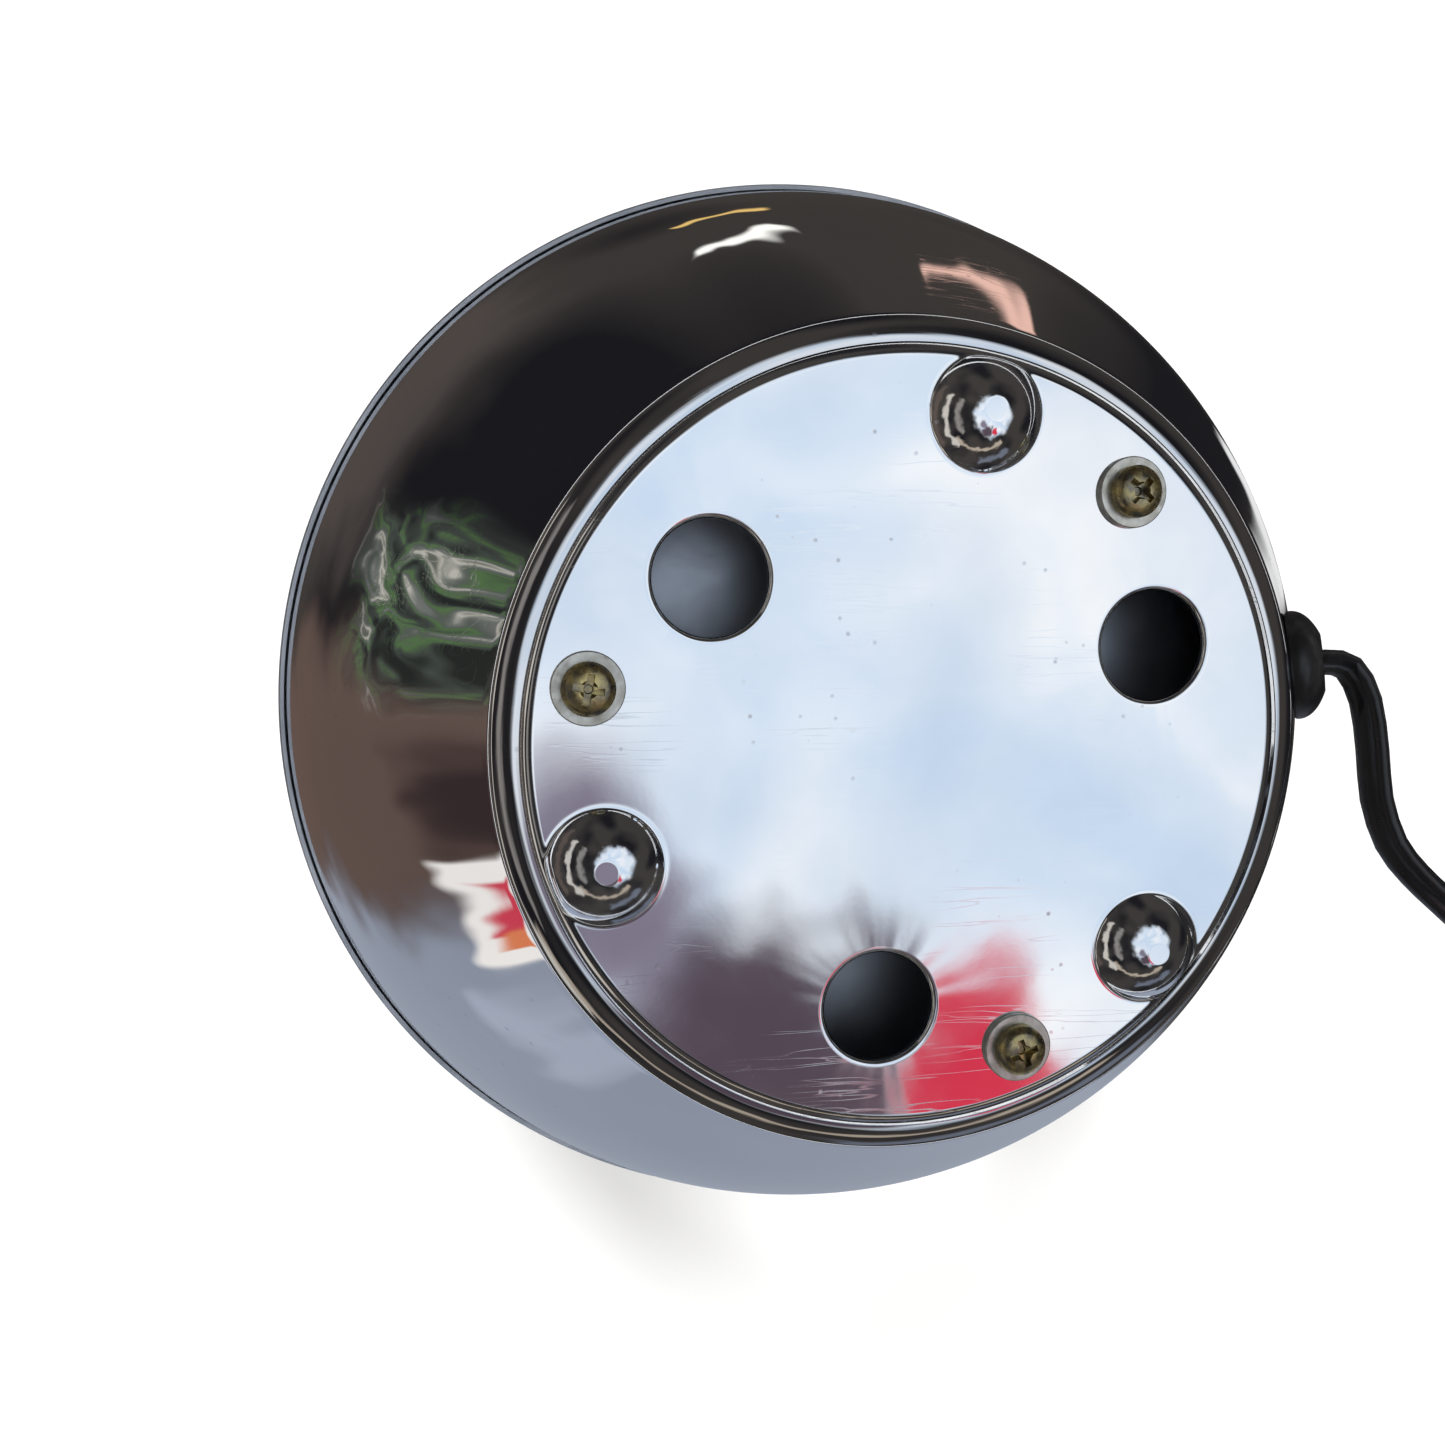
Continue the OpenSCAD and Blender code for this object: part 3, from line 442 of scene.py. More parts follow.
FINISHES: dict[str, Surface] = {
    # bright chrome on pressed steel: a near perfect mirror, with faint waves and hairlines
    "chromed_steel": Surface("bowl_bright_chrome", "E4E6EA", "D8DBE0", 1.0, (0.015, 0.035),
                             mottle_mm=60, grain_mm=7, grain_depth_mm=0.002, wave_mm=38,
                             wave_depth_mm=0.05, scratch=0.25, scratch_mm=5, specks=0.25,
                             speck_mm=4.5, speck_colour="6A6C70"),
    # chrome on thin punched sheet: dented round its holes, rubbed and pitted from use
    "chromed_plate": Surface("base_plate_chrome", "F7F9FC", "E8EDF4", 1.0, (0.03, 0.09),
                             mottle_mm=26, grain_mm=3, grain_depth_mm=0.003, wave_mm=24,
                             wave_depth_mm=0.16, scratch=0.7, scratch_mm=3.5, specks=0.8,
                             speck_mm=3.4, speck_colour="C9CED6",
                             streak_centres=three_fold(35.7, 68, 3.6),
                             turned_edge=(50.5, 52.4, 0.75)),
    # zinc plate gone dull: fine crystalline grey with pale bloom
    "zinc_hardware": Surface("dull_zinc_plate", "DAD9D2", "B2B0A6", 1.0, (0.28, 0.44),
                             mottle_mm=2.2, grain_mm=0.35, grain_depth_mm=0.012, scratch=0.5,
                             scratch_mm=1.2, specks=0.4, speck_mm=0.9, speck_colour="D8D6CC"),
    # yellow-passivated zinc, mottled at random between a darkened tone and a brassy one
    "passivated_screws": Surface("yellow_passivated_zinc", "C6B57E", "817C70", 1.0, (0.22, 0.4),
                                 mottle_mm=1.5, grain_mm=0.4, grain_depth_mm=0.01, scratch=0.6,
                                 scratch_mm=0.9, specks=0.4, speck_mm=0.8, speck_colour="46402E"),
    # spun aluminium: satin outside with the lathe's fine rings
    "spun_aluminium": Surface("satin_spun_aluminium", "B4BAC4", "969DA8", 1.0, (0.4, 0.52),
                              mottle_mm=20, grain_mm=0.5, grain_depth_mm=0.004, scratch=0.3,
                              scratch_mm=2.5),
    # glazed porcelain: milky white under a clear hard gloss, a few specks in the glaze
    "porcelain": Surface("glazed_porcelain", "F0EDE3", "E4DFD2", 0.0, (0.07, 0.14), 1.52,
                         mottle_mm=9, grain_mm=3, grain_depth_mm=0.02, specks=0.35,
                         speck_mm=2.4, speck_colour="8C8272"),
    # rolled sheet brass, lightly tarnished
    "brass": Surface("rolled_brass", "D9B45E", "A88440", 1.0, (0.18, 0.34), mottle_mm=3.5,
                     grain_mm=0.4, grain_depth_mm=0.004, scratch=0.4, scratch_mm=1.2),
    # spring bronze: redder than brass, with a heat bloom
    "phosphor_bronze": Surface("phosphor_bronze_strip", "C68A56", "9A6238", 1.0, (0.2, 0.36),
                               mottle_mm=3, grain_mm=0.4, grain_depth_mm=0.004, scratch=0.3,
                               scratch_mm=1.0),
    # vinyl wire covering: satin black with extrusion ripple
    "wire_insulation": Surface("wire_vinyl", "1E1E20", "151517", 0.0, (0.38, 0.5), 1.53,
                               mottle_mm=4, grain_mm=0.4, grain_depth_mm=0.01),
    # moulded rubber: semi-matt black with a dusty bloom
    "black_rubber": Surface("moulded_rubber", "1B1B1E", "0E0E10", 0.0, (0.32, 0.5), 1.52,
                            mottle_mm=2.5, grain_mm=0.3, grain_depth_mm=0.015, specks=0.3,
                            speck_mm=1.2, speck_colour="3A3A3E"),
    # flexible vinyl flex: glossy black, softly rippled from being coiled
    "cord_vinyl": Surface("flexible_cord_vinyl", "17171B", "0C0C10", 0.0, (0.24, 0.36), 1.53,
                          mottle_mm=9, grain_mm=1.6, grain_depth_mm=0.02, scratch=0.2,
                          scratch_mm=1.5),
    # polyamide tie: slightly milky black
    "tie_plastic": Surface("polyamide_tie", "202022", "161618", 0.0, (0.36, 0.46), 1.53,
                           mottle_mm=3, grain_mm=0.5, grain_depth_mm=0.008),
    # phenolic moulding: deep brown-black, high polish dulled by hands
    "black_bakelite": Surface("phenolic_moulding", "1D1916", "120F0D", 0.0, (0.14, 0.3), 1.6,
                              mottle_mm=7, grain_mm=2.5, grain_depth_mm=0.012, scratch=0.35,
                              scratch_mm=2.0, coat=0.2),
    # red rocker: moulded thermoplastic with a worn crown
    "red_rocker": Surface("red_thermoplastic", "B3221C", "8E1814", 0.0, (0.2, 0.36), 1.5,
                          mottle_mm=3, grain_mm=1.2, grain_depth_mm=0.008, scratch=0.3,
                          scratch_mm=1.2),
    # moulded-on plug: satin vinyl with a spark-eroded skin
    "black_plug": Surface("moulded_plug_vinyl", "19191B", "111113", 0.0, (0.4, 0.54), 1.53,
                          mottle_mm=5, grain_mm=0.35, grain_depth_mm=0.02),
    # nickel on brass: warm silver, with brass showing at rubbed places
    "nickel_brass": Surface("nickelled_brass", "CFC9B4", "B29E66", 1.0, (0.14, 0.28),
                            mottle_mm=4, grain_mm=0.5, grain_depth_mm=0.003, scratch=0.5,
                            scratch_mm=1.2),
    # blown glass under a thin lacquer: clear, very faintly blue, gently uneven
    "bulb_glass": Surface("lacquered_bulb_glass", "E9F2FA", "DCE9F6", 0.0, (0.0, 0.03), 1.5,
                          mottle_mm=14, grain_mm=9, grain_depth_mm=0.02, see_through=1.0),
    # thin rolled brass of the bulb's cap, dulled by the holder
    "cap_brass": Surface("rolled_cap_brass", "CDB776", "9C8450", 1.0, (0.24, 0.42), mottle_mm=4,
                         grain_mm=0.5, grain_depth_mm=0.006, scratch=0.6, scratch_mm=1.4,
                         specks=0.3, speck_mm=1.2, speck_colour="5C4E30"),
    # black glass insulator: deep gloss with flow lines
    "black_glass": Surface("black_glass", "101014", "08080A", 0.0, (0.05, 0.12), 1.55,
                           mottle_mm=3, grain_mm=1.6, grain_depth_mm=0.02),
    # tin solder: a dull, slightly pebbled drop
    "solder": Surface("tin_solder", "B4B4B2", "8A8A88", 1.0, (0.3, 0.46), mottle_mm=1.5,
                      grain_mm=0.6, grain_depth_mm=0.03, scratch=0.4, scratch_mm=0.8),
    # nickel-iron lead-in wire: greyish drawn metal
    "lead_in_wire": Surface("nickel_iron_wire", "A8A29A", "86807A", 1.0, (0.28, 0.4),
                            mottle_mm=2, grain_mm=0.2, grain_depth_mm=0.004),
    # dried priming paste: dark, crumbly, matt
    "primer_paste": Surface("priming_paste", "5A524C", "332E2A", 0.0, (0.8, 0.92), 1.5,
                            mottle_mm=0.7, grain_mm=0.25, grain_depth_mm=0.05),
    # shredded magnesium wire: bright drawn strands
    "magnesium_wire": Surface("shredded_magnesium", "E6E7EA", "C6C8CC", 1.0, (0.16, 0.26),
                              mottle_mm=2, grain_mm=0.3, grain_depth_mm=0.002),
}


# ---------------------------------------------------------------- bowl, plate and dish
@dataclass
class Bowl:
    """The outer shell: flange, rounded lip, shoulder and flared flank, spun in one piece."""

    mouth_r: float = 93.5
    rim_z: float = 68.0
    sheet: float = 0.9
    plate_r: float = 52.4
    seat_z: float = 4.85
    lip_in: float = 52.7
    lip_r: float = 55.2
    lip_slope: float = 12.0
    crown_slope: float = 24.0
    shoulder_r: float = 1.5
    foot_slope: float = 53.0
    rim_slope: float = 72.0
    bead_r: float = 1.7
    facets: int = 288

    def shoulder(self) -> list[Point2]:
        """The tight curve from the lip round the plate to the flank."""
        slope = math.radians(self.lip_slope)
        rise = (self.lip_r - self.lip_in) * math.tan(slope)
        centre = (self.lip_r - self.shoulder_r * math.sin(slope),
                  self.seat_z + rise + self.shoulder_r * math.cos(slope))
        return arc(centre, self.shoulder_r, self.crown_slope - 90, self.foot_slope - 90, 12)

    def crown(self) -> list[Vector]:
        """The control points of the lip's low crown, level at the plate and steeper outwards."""
        end = Vector(self.shoulder()[0])
        reach = (end.y - self.seat_z) / math.tan(math.radians(self.crown_slope))
        start, corner = Vector((self.lip_in, self.seat_z)), Vector((end.x - reach, self.seat_z))
        return [start, start.lerp(corner, 2 / 3), end.lerp(corner, 2 / 3), end]

    def flank(self) -> list[Vector]:
        """The four control points of the flank's curve."""
        a, b = math.radians(self.foot_slope), math.radians(self.rim_slope)
        start = Vector(self.shoulder()[-1])
        end = Vector((self.mouth_r - self.bead_r, self.rim_z - self.bead_r - 0.6))
        pull = 0.4 * (end - start).length
        return [start, start + pull * Vector((math.cos(a), math.sin(a))),
                end - pull * Vector((math.cos(b), math.sin(b))), end]

    def middle(self) -> list[Point2]:
        """Radius and height of the sheet's middle, from the inner flange to the rim."""
        line: list[Point2] = [(self.plate_r - 5.4, self.seat_z)]
        line += [tuple(bezier(self.crown(), i / 12)) for i in range(12)]
        line += self.shoulder()
        line += [tuple(bezier(self.flank(), i / 64)) for i in range(1, 65)]
        return line

    def build(self) -> bpy.types.Object:
        """Spins the shell."""
        bm = lathe(sheet_outline(self.middle(), self.sheet), self.facets)
        shell = new_piece("chromed_bowl", bm, 50)
        return dress(shell, "head", "chromed_steel", "outer_shell")


@dataclass
class BasePlate:
    """The bottom plate: a thin disc with three vents, three pressed feet and three screw holes."""

    radius: float = 52.4
    low: float = 3.6
    top: float = 4.4
    vent_r: float = 7.5
    vent_pitch: float = 35.7
    vent_at: float = 68.0
    vent_roll: float = 0.75
    screw_r: float = 1.95
    screw_pitch: float = 44.5
    screw_at: float = 40.5
    foot_r: float = 7.6
    foot_flat: float = 1.5
    foot_pitch: float = 44.3
    foot_at: float = 10.5
    fillet: float = 0.9
    flat_ring: float = 0.25
    edge_roll: float = 0.3
    tuck_from: float = 50.6
    tuck_width: float = 1.2

    def _tuck(self, verts: Iterable[bmesh.types.BMVert]) -> None:
        """Draws a foot's rings in where they would cross the edge of the plate."""
        start, width = self.tuck_from * MM, self.tuck_width * MM
        for v in verts:
            far = math.hypot(v.co.x, v.co.y)
            if far > start:
                near = start + width * (1 - math.exp((start - far) / width))
                v.co.x, v.co.y = v.co.x * near / far, v.co.y * near / far

    def _circle(self, bm: bmesh.types.BMesh, centre: Vector, radius: float, z: float,
                facets: int) -> list[bmesh.types.BMEdge]:
        """A ring of edges about a centre, in millimetres."""
        place = Matrix.Translation(Vector((centre.x, centre.y, z)) * MM)
        made = bmesh.ops.create_circle(bm, cap_ends=False, segments=facets, radius=radius * MM,
                                       matrix=place)["verts"]
        if centre.length:
            self._tuck(made)
        ring = set(made)
        return [e for v in made for e in v.link_edges if set(e.verts) <= ring and e.verts[0] == v]

    def _grow(self, bm: bmesh.types.BMesh, edges: list[bmesh.types.BMEdge], centre: Vector,
              rings: Iterable[Point2]) -> list[bmesh.types.BMEdge]:
        """Extrudes a ring of edges through more rings of the same centre.

        Args:
            bm: the mesh.
            edges: the ring to start from.
            centre: the rings' centre, in millimetres.
            rings: radius and height of each new ring.

        Returns:
            The last ring's edges.
        """
        for radius, z in rings:
            made = bmesh.ops.extrude_edge_only(bm, edges=edges)["geom"]
            verts = [g for g in made if isinstance(g, bmesh.types.BMVert)]
            for v in verts:
                out = Vector((v.co.x - centre.x * MM, v.co.y - centre.y * MM)).normalized()
                v.co = Vector((centre.x + out.x * radius, centre.y + out.y * radius, z)) * MM
            if centre.length:
                self._tuck(verts)
            edges = [g for g in made if isinstance(g, bmesh.types.BMEdge)]
        return edges

    def _foot_rings(self, inset: float, depth: float, fillet: float, side: float) -> list[Point2]:
        """Radius and height of a pressed foot's rings, from its edge to its worn flat.

        Args:
            inset: how much smaller the foot is on this face of the sheet.
            depth: the height of the face that the foot is pressed from.
            fillet: the width of the rounding where it leaves the face.
            side: -1 for the lower face, whose foot reaches the table.

        Returns:
            The rings, outermost first.
        """
        edge = self.foot_r - inset
        drop = self.low if side < 0 else self.low + 0.02
        sphere = (edge ** 2 + drop ** 2 - self.foot_flat ** 2) / (2 * drop)
        ball = math.hypot(edge, sphere - drop)
        rings: list[Point2] = []
        slope = math.asin(min(1.0, edge / ball))
        for i in range(1, 7):  # the rounding between the flat sheet and the dome
            t = i / 6
            angle = slope * t
            rings.append((edge + fillet * (1 - t) ** 1.3,
                          depth - fillet * 0.25 * (1 - math.cos(angle)) * t))
        start = rings[-1][1]
        end_angle = math.asin(self.foot_flat / ball)
        reach = ball * (math.cos(end_angle) - math.cos(slope))
        for i in range(1, 25):
            a = slope + (end_angle - slope) * i / 24
            fall = ball * (math.cos(a) - math.cos(slope))
            rings.append((ball * math.sin(a), start - fall * (start - (depth - drop)) / reach))
        return rings

    def build(self) -> bpy.types.Object:
        """Fills the plate's face between its holes, then turns every edge and presses the feet."""
        bm = bmesh.new()
        middle = Vector((0, 0, 0))
        flat = self.flat_ring
        vents = [polar(self.vent_pitch, self.vent_at + 120 * k, 0) for k in range(3)]
        screws = [polar(self.screw_pitch, self.screw_at + 120 * k, 0) for k in range(3)]
        feet = [polar(self.foot_pitch, self.foot_at + 120 * k, 0) for k in range(3)]
        turn, roll = self.edge_roll, self.vent_roll
        corner = arc((self.radius - turn, self.low + turn), turn, -90, 0, 4)
        rims: list[tuple[Vector, list, float, int]] = [
            (middle, corner + [(self.radius, self.top)], self.radius - turn - flat, 256)]
        for c in vents:
            turned = arc((self.vent_r + roll, self.low + roll), roll, -90, -180, 6)
            rims.append((c, turned + [(self.vent_r, self.top)], self.vent_r + roll + flat, 96))
        for c in screws:
            rims.append((c, [(self.screw_r + 0.1, self.low), (self.screw_r, self.low + 0.1),
                             (self.screw_r, self.top)], self.screw_r + 0.3, 32))
        low_edges, top_edges = [], []
        later: list[tuple[Vector, list, list]] = []
        for centre, rings, start, facets in rims:
            ring = self._circle(bm, centre, start, self.low, facets)
            low_edges += ring
            later.append((centre, ring, rings))
        for centre in feet:
            outer = self.foot_r + self.fillet + flat
            ring = self._circle(bm, centre, outer, self.low, 96)
            low_edges += ring
            rings = [(self.foot_r + self.fillet, self.low)]
            rings += self._foot_rings(0.0, self.low, self.fillet, -1)
            rings += [(self.foot_flat - 0.1, 0.0)]
            later.append((centre, ring, rings))
        bmesh.ops.triangle_fill(bm, use_beauty=True, use_dissolve=False, edges=low_edges,
                                normal=(0, 0, -1))
        for index, (centre, ring, rings) in enumerate(later):
            last = self._grow(bm, ring, centre, rings)
            if index < len(rims):
                top_edges += last
            else:
                bmesh.ops.edgeloop_fill(bm, edges=last)
        for centre in feet:  # the hollow side of each foot
            ring = self._circle(bm, centre, self.foot_r - 0.8, self.top, 96)
            top_edges += ring
            later.append((centre, ring, self._foot_rings(0.8, self.top, 0.0, 1)[6:]))
        bmesh.ops.triangle_fill(bm, use_beauty=True, use_dissolve=False, edges=top_edges,
                                normal=(0, 0, 1))
        for centre, ring, rings in later[-3:]:
            last = self._grow(bm, ring, centre, rings)
            bmesh.ops.edgeloop_fill(bm, edges=last)
        bmesh.ops.recalc_face_normals(bm, faces=bm.faces)
        plate = new_piece("vented_base_plate", bm, 38)
        return dress(plate, "head", "chromed_plate", "bottom_plate")


@dataclass
class Reflector:
    """The inner dish: flat floor, parabolic wall, and an edge curled over the bowl's rim."""

    sheet: float = 0.7
    floor_z: float = 19.25
    hole_r: float = 20.6
    wall_r: float = 90.45
    edge_z: float = 62.5
    flat_r: float = 50.0
    join_r: float = 54.0
    bead: Point2 = (91.8, 66.3)
    bead_r: float = 1.7
    facets: int = 256

    def middle(self) -> list[Point2]:
        """Radius and height of the sheet's middle, from the central hole to the curled edge."""
        reach = self.wall_r - 0.7
        focal = (reach ** 2 - self.flat_r ** 2) / (self.edge_z - self.floor_z)
        base = self.edge_z - reach ** 2 / focal
        join = Vector((self.join_r, base + self.join_r ** 2 / focal))
        run = (join.y - self.floor_z) * focal / (2 * self.join_r)
        knee = Vector((self.join_r - run, self.floor_z))
        start = Vector((self.join_r - 10, self.floor_z))
        line: list[Point2] = [(self.hole_r, self.floor_z), (30, self.floor_z)]
        for i in range(13):
            t = i / 12
            line.append(tuple((1 - t) ** 2 * start + 2 * t * (1 - t) * knee + t * t * join))
        for i in range(1, 49):
            r = self.join_r + (reach - self.join_r) * i / 48
            line.append((r, base + r * r / focal))
        line.append((self.wall_r, self.edge_z + 2.7))
        line += arc(self.bead, self.bead_r - self.sheet / 2, 180, -45, 30)
        return line

    def build(self) -> bpy.types.Object:
        """Spins the dish with its bead."""
        bm = lathe(sheet_outline(self.middle(), self.sheet), self.facets)
        dish = new_piece("reflector_dish_spun", bm, 50)
        return dress(dish, "head", "spun_aluminium", "reflector_dish")


# ---------------------------------------------------------------- pieces carried over from the CAD
@dataclass
class CarriedPiece:
    """A CAD node's own shape, merged, with its sharp edges rounded as moulding and plating do."""

    node: str
    slot: str
    body: str = "head"
    rounding: float = 0.0
    segments: int = 3
    crease: float = 32.0

    def build(self) -> bpy.types.Object:
        """Copies the node's mesh, merges it and rounds its edges."""
        bm = bmesh.new()
        bm.from_mesh(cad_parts[self.node].data)
        bmesh.ops.remove_doubles(bm, verts=bm.verts, dist=2e-6)
        bmesh.ops.dissolve_degenerate(bm, dist=1e-7, edges=bm.edges)
        if self.rounding:
            bmesh.ops.dissolve_limit(bm, angle_limit=math.radians(0.4), verts=bm.verts,
                                     edges=bm.edges, delimit={"NORMAL"})
        piece = new_piece(f"{self.node}_made", bm, self.crease)
        if self.rounding:
            bevel = piece.modifiers.new("rounded_edges", "BEVEL")
            bevel.width = self.rounding * MM
            bevel.segments = self.segments
            bevel.limit_method = "ANGLE"
            bevel.angle_limit = math.radians(self.crease)
            bevel.use_clamp_overlap = True
        return dress(piece, self.body, self.slot, self.node)


# ---------------------------------------------------------------- cord
@dataclass
class Grommet:
    """The domed rubber bush that the cord leaves the bowl through."""

    radius: float = 8.0
    neck: float = 4.45
    head: float = 4.2
    back: float = 2.0
    back_r: float = 5.8
    sheet: float = 0.9
    angle: float = 80.4
    at: Point2 = (60.69, 12.0)
    drop: float = 37.44

    def place(self) -> Matrix:
        """Where the bush stands on the flank: its own z points out of the bowl."""
        out = Matrix.Rotation(math.radians(self.angle), 4, "Z")
        down = Matrix.Rotation(math.radians(90 + self.drop), 4, "Y")
        return out @ Matrix.Translation(Vector((self.at[0], 0, self.at[1])) * MM) @ down

    def build(self) -> bpy.types.Object:
        """Spins the bush about its own axis and stands it on the flank."""
        r, s = self.radius, self.sheet / 2
        low, top, rear = -s - 0.4 - self.back, s + self.head, self.back_r
        crown = [Vector((r, s + 0.9)), Vector((r * 0.98, s + 2.6)), Vector((r * 0.74, s + 3.6)),
                 Vector((r * 0.52, top))]
        outline = [(0.0, low), (rear - 0.8, low), (rear - 0.4, low + 0.2), (rear, -s - 0.4),
                   (self.neck, -s - 0.35), (self.neck, s), (r - 0.3, s + 0.02), (r, s + 0.35)]
        outline += [tuple(bezier(crown, i / 14)) for i in range(15)]
        outline += [(3.6, top), (3.3, top - 0.4), (0.0, top - 0.4)]
        bm = lathe(outline, 96, closed=False)
        for v in bm.verts:  # the soft flange bends down to follow the bowl's curve
            v.co.z -= min(v.co.y ** 2 / (2 * self.at[0] * MM * 1.6), 0.0004) * (v.co.z > 0)
        bmesh.ops.transform(bm, matrix=self.place(), verts=bm.verts)
        return dress(new_piece("cord_bush", bm, 40), "head", "black_rubber", "cord_grommet")


@dataclass
class TwinCord:
    """A flat twin cord: from the bush, through the switch, round a tied coil, to the plug."""

    width: float = 4.4
    thick: float = 2.6
    lay_y: float = 55.2
    switch: Point2 = (-111.0, 115.2)
    switch_l: float = 62.0
    split_z: float = 7.0
    coil: Point2 = (-138.0, 162.0)
    coil_r: float = 25.0
    turns: float = 9.25
    per_turn: int = 36
    plug: Point2 = (-70.0, 164.0)
    plug_l: float = 32.0
    plug_z: float = 6.85
    exit_p: Point2 = (60.69, 12.0)
    exit_a: float = 80.4
    exit_drop: float = 37.44
    route: list[tuple[Vector, float]] = field(default_factory=list)

    def exit(self) -> Vector:
        """The point where the cord leaves the bowl."""
        return polar(self.exit_p[0], self.exit_a, self.exit_p[1])

    def outward(self) -> Vector:
        """The way it leaves in: square to the flank, outwards and down."""
        drop = math.radians(self.exit_drop)
        return polar(math.cos(drop), self.exit_a, -math.sin(drop))

    def _coil_points(self) -> list[tuple[Vector, float]]:
        """The turns, edge on and side by side: five on the table, then four on top of them."""
        gap = self.thick + 0.12
        low, high = self.width / 2 + 0.15, self.width * 1.5 + 0.3
        lanes = [(2 * gap, low), (gap, low), (0.0, low), (-gap, low), (-2 * gap, low),
                 (-1.5 * gap, high), (-0.5 * gap, high), (0.5 * gap, high), (1.5 * gap, high),
                 (1.5 * gap, high)]
        made: list[tuple[Vector, float]] = []
        count = int(round(self.turns * self.per_turn))
        for i in range(count + 1):
            turn = i / self.per_turn
            lane, share = int(turn), turn - int(turn)
            a, b = lanes[lane], lanes[min(lane + 1, len(lanes) - 1)]
            move = max(0.0, (share - 0.55) / 0.45)
            move = move * move * (3 - 2 * move)
            r = self.coil_r + a[0] + (b[0] - a[0]) * move
            z = a[1] + (b[1] - a[1]) * move
            angle = math.pi - TURN * turn
            made.append((Vector((self.coil[0] + r * math.cos(angle),
                                 self.coil[1] + r * math.sin(angle), z)), 90.0))
        return made

    def plan(self) -> list[tuple[Vector, float]]:
        """Every route point with the cord's roll in degrees: 0 lying flat, 90 on its edge."""
        sx, sy = self.switch
        half = self.switch_l / 2
        y = self.lay_y
        flat = self.thick / 2 + 0.1
        start = [(polar(46.5, 101, 10.6), 60.0), (polar(52.5, 87, 13.5), 52.0),
                 (self.exit() - 3 * self.outward(), 48.0), (self.exit(), 48.0),
                 (self.exit() + 4.6 * self.outward(), 48.0)]
        outer = [((9.9, y + 11.8, 8.4), 50.0), ((5.2, y + 13.9, 7.2), 52.0),
                 ((-1.9, y + 14.2, 5.6), 52.0), ((-8.8, y + 14.2, 4.2), 50.0),
                 ((-15.1, y + 15.9, 2.9), 46.0), ((-19.7, y + 19.6, 2.3), 40.0),
                 ((-24.0, y + 24.5, 1.9), 30.0), ((-33.0, y + 35.0, flat), 8.0),
                 ((-45.0, y + 47.0, flat), 0.0), ((-59.0, y + 56.0, 2.6), 0.0),
                 ((sx + half + 7, sy, self.split_z - 0.6), 0.0)]
        split = self.split_z
        inside = [((sx + half - 3, sy, split), 0.0), ((sx + half - 9, sy + 4.0, split - 1.2), 0.0),
                  ((sx + 14, sy + 6.4, 5.0), 0.0), ((sx - 14, sy + 6.4, 5.0), 0.0),
                  ((sx - half + 9, sy + 4.0, split - 1.2), 0.0), ((sx - half + 3, sy, split), 0.0)]
        left = self.coil[0] - self.coil_r
        link = [((sx - half - 5, sy, self.split_z - 0.6), 0.0), ((left + 9, sy + 5, 5.2), 20.0),
                ((left - 1, sy + 14, 3.4), 55.0), ((left - 4.6, sy + 27, 2.5), 85.0),
                ((left - 5.3, self.coil[1] - 12, 2.4), 90.0)]
        done = self._coil_points()
        px, py = self.plug
        tail = [((self.coil[0] + 13, self.coil[1] + self.coil_r + 2.2, 6.3), 85.0),
                ((self.coil[0] + 26, self.coil[1] + self.coil_r - 4.5, 5.4), 65.0),
                ((self.coil[0] + 37, self.coil[1] + 10.5, 5.4), 30.0),
                ((px - self.plug_l / 2 - 9, py + 1.6, self.plug_z - 0.8), 5.0),
                ((px - self.plug_l / 2 + 2.8, py, self.plug_z), 0.0)]
        self.route = (start + [(Vector(p), a) for p, a in outer + inside + link] + done
                      + [(Vector(p), a) for p, a in tail])
        return self.route

    def _sweep(self, name: str, route: list[tuple[Vector, float]], steps: int) -> tuple:
        """Draws the twin section along a route and makes it a mesh.

        Args:
            name: the piece's name.
            route: points in millimetres with the roll at each.
            steps: the pieces between one point and the next.

        Returns:
            The mesh object and the points of its middle line in metres.
        """
        line = through([p for p, _ in route], steps)
        rolls = [v.x for v in through([Vector((a, 0, 0)) for _, a in route], steps)]
        side = bpy.data.curves.new(f"{name}_section", "CURVE")
        lobe = self.thick / 2
        shift = self.width / 2 - lobe
        reach = math.degrees(math.acos(-shift / lobe)) - 4
        right = arc((shift, 0), lobe, -reach, reach, 12)
        ring = right + [(-x, y) for x, y in reversed(right)]
        loop = side.splines.new("POLY")
        loop.points.add(len(ring) - 1)
        for point, (x, y) in zip(loop.points, ring):
            point.co = (x * MM, y * MM, 0, 1)
        loop.use_cyclic_u = True
        section = bpy.data.objects.new(f"{name}_section", side)
        curve = bpy.data.curves.new(name, "CURVE")
        curve.dimensions = "3D"
        curve.twist_mode = "Z_UP"
        curve.bevel_mode = "OBJECT"
        curve.bevel_object = section
        curve.use_fill_caps = True
        spline = curve.splines.new("POLY")
        spline.points.add(len(line) - 1)
        for point, co, roll in zip(spline.points, line, rolls):
            point.co = (*(co * MM), 1)
            point.tilt = math.radians(roll)
        drawn = bpy.data.objects.new(f"{name}_line", curve)
        for thing in (section, drawn):
            bpy.context.scene.collection.objects.link(thing)
        bm = drawn_mesh(drawn)
        bpy.data.objects.remove(section)
        bmesh.ops.remove_doubles(bm, verts=bm.verts, dist=1e-6)
        bmesh.ops.recalc_face_normals(bm, faces=bm.faces)
        return new_piece(name, bm, 50), [co * MM for co in line]

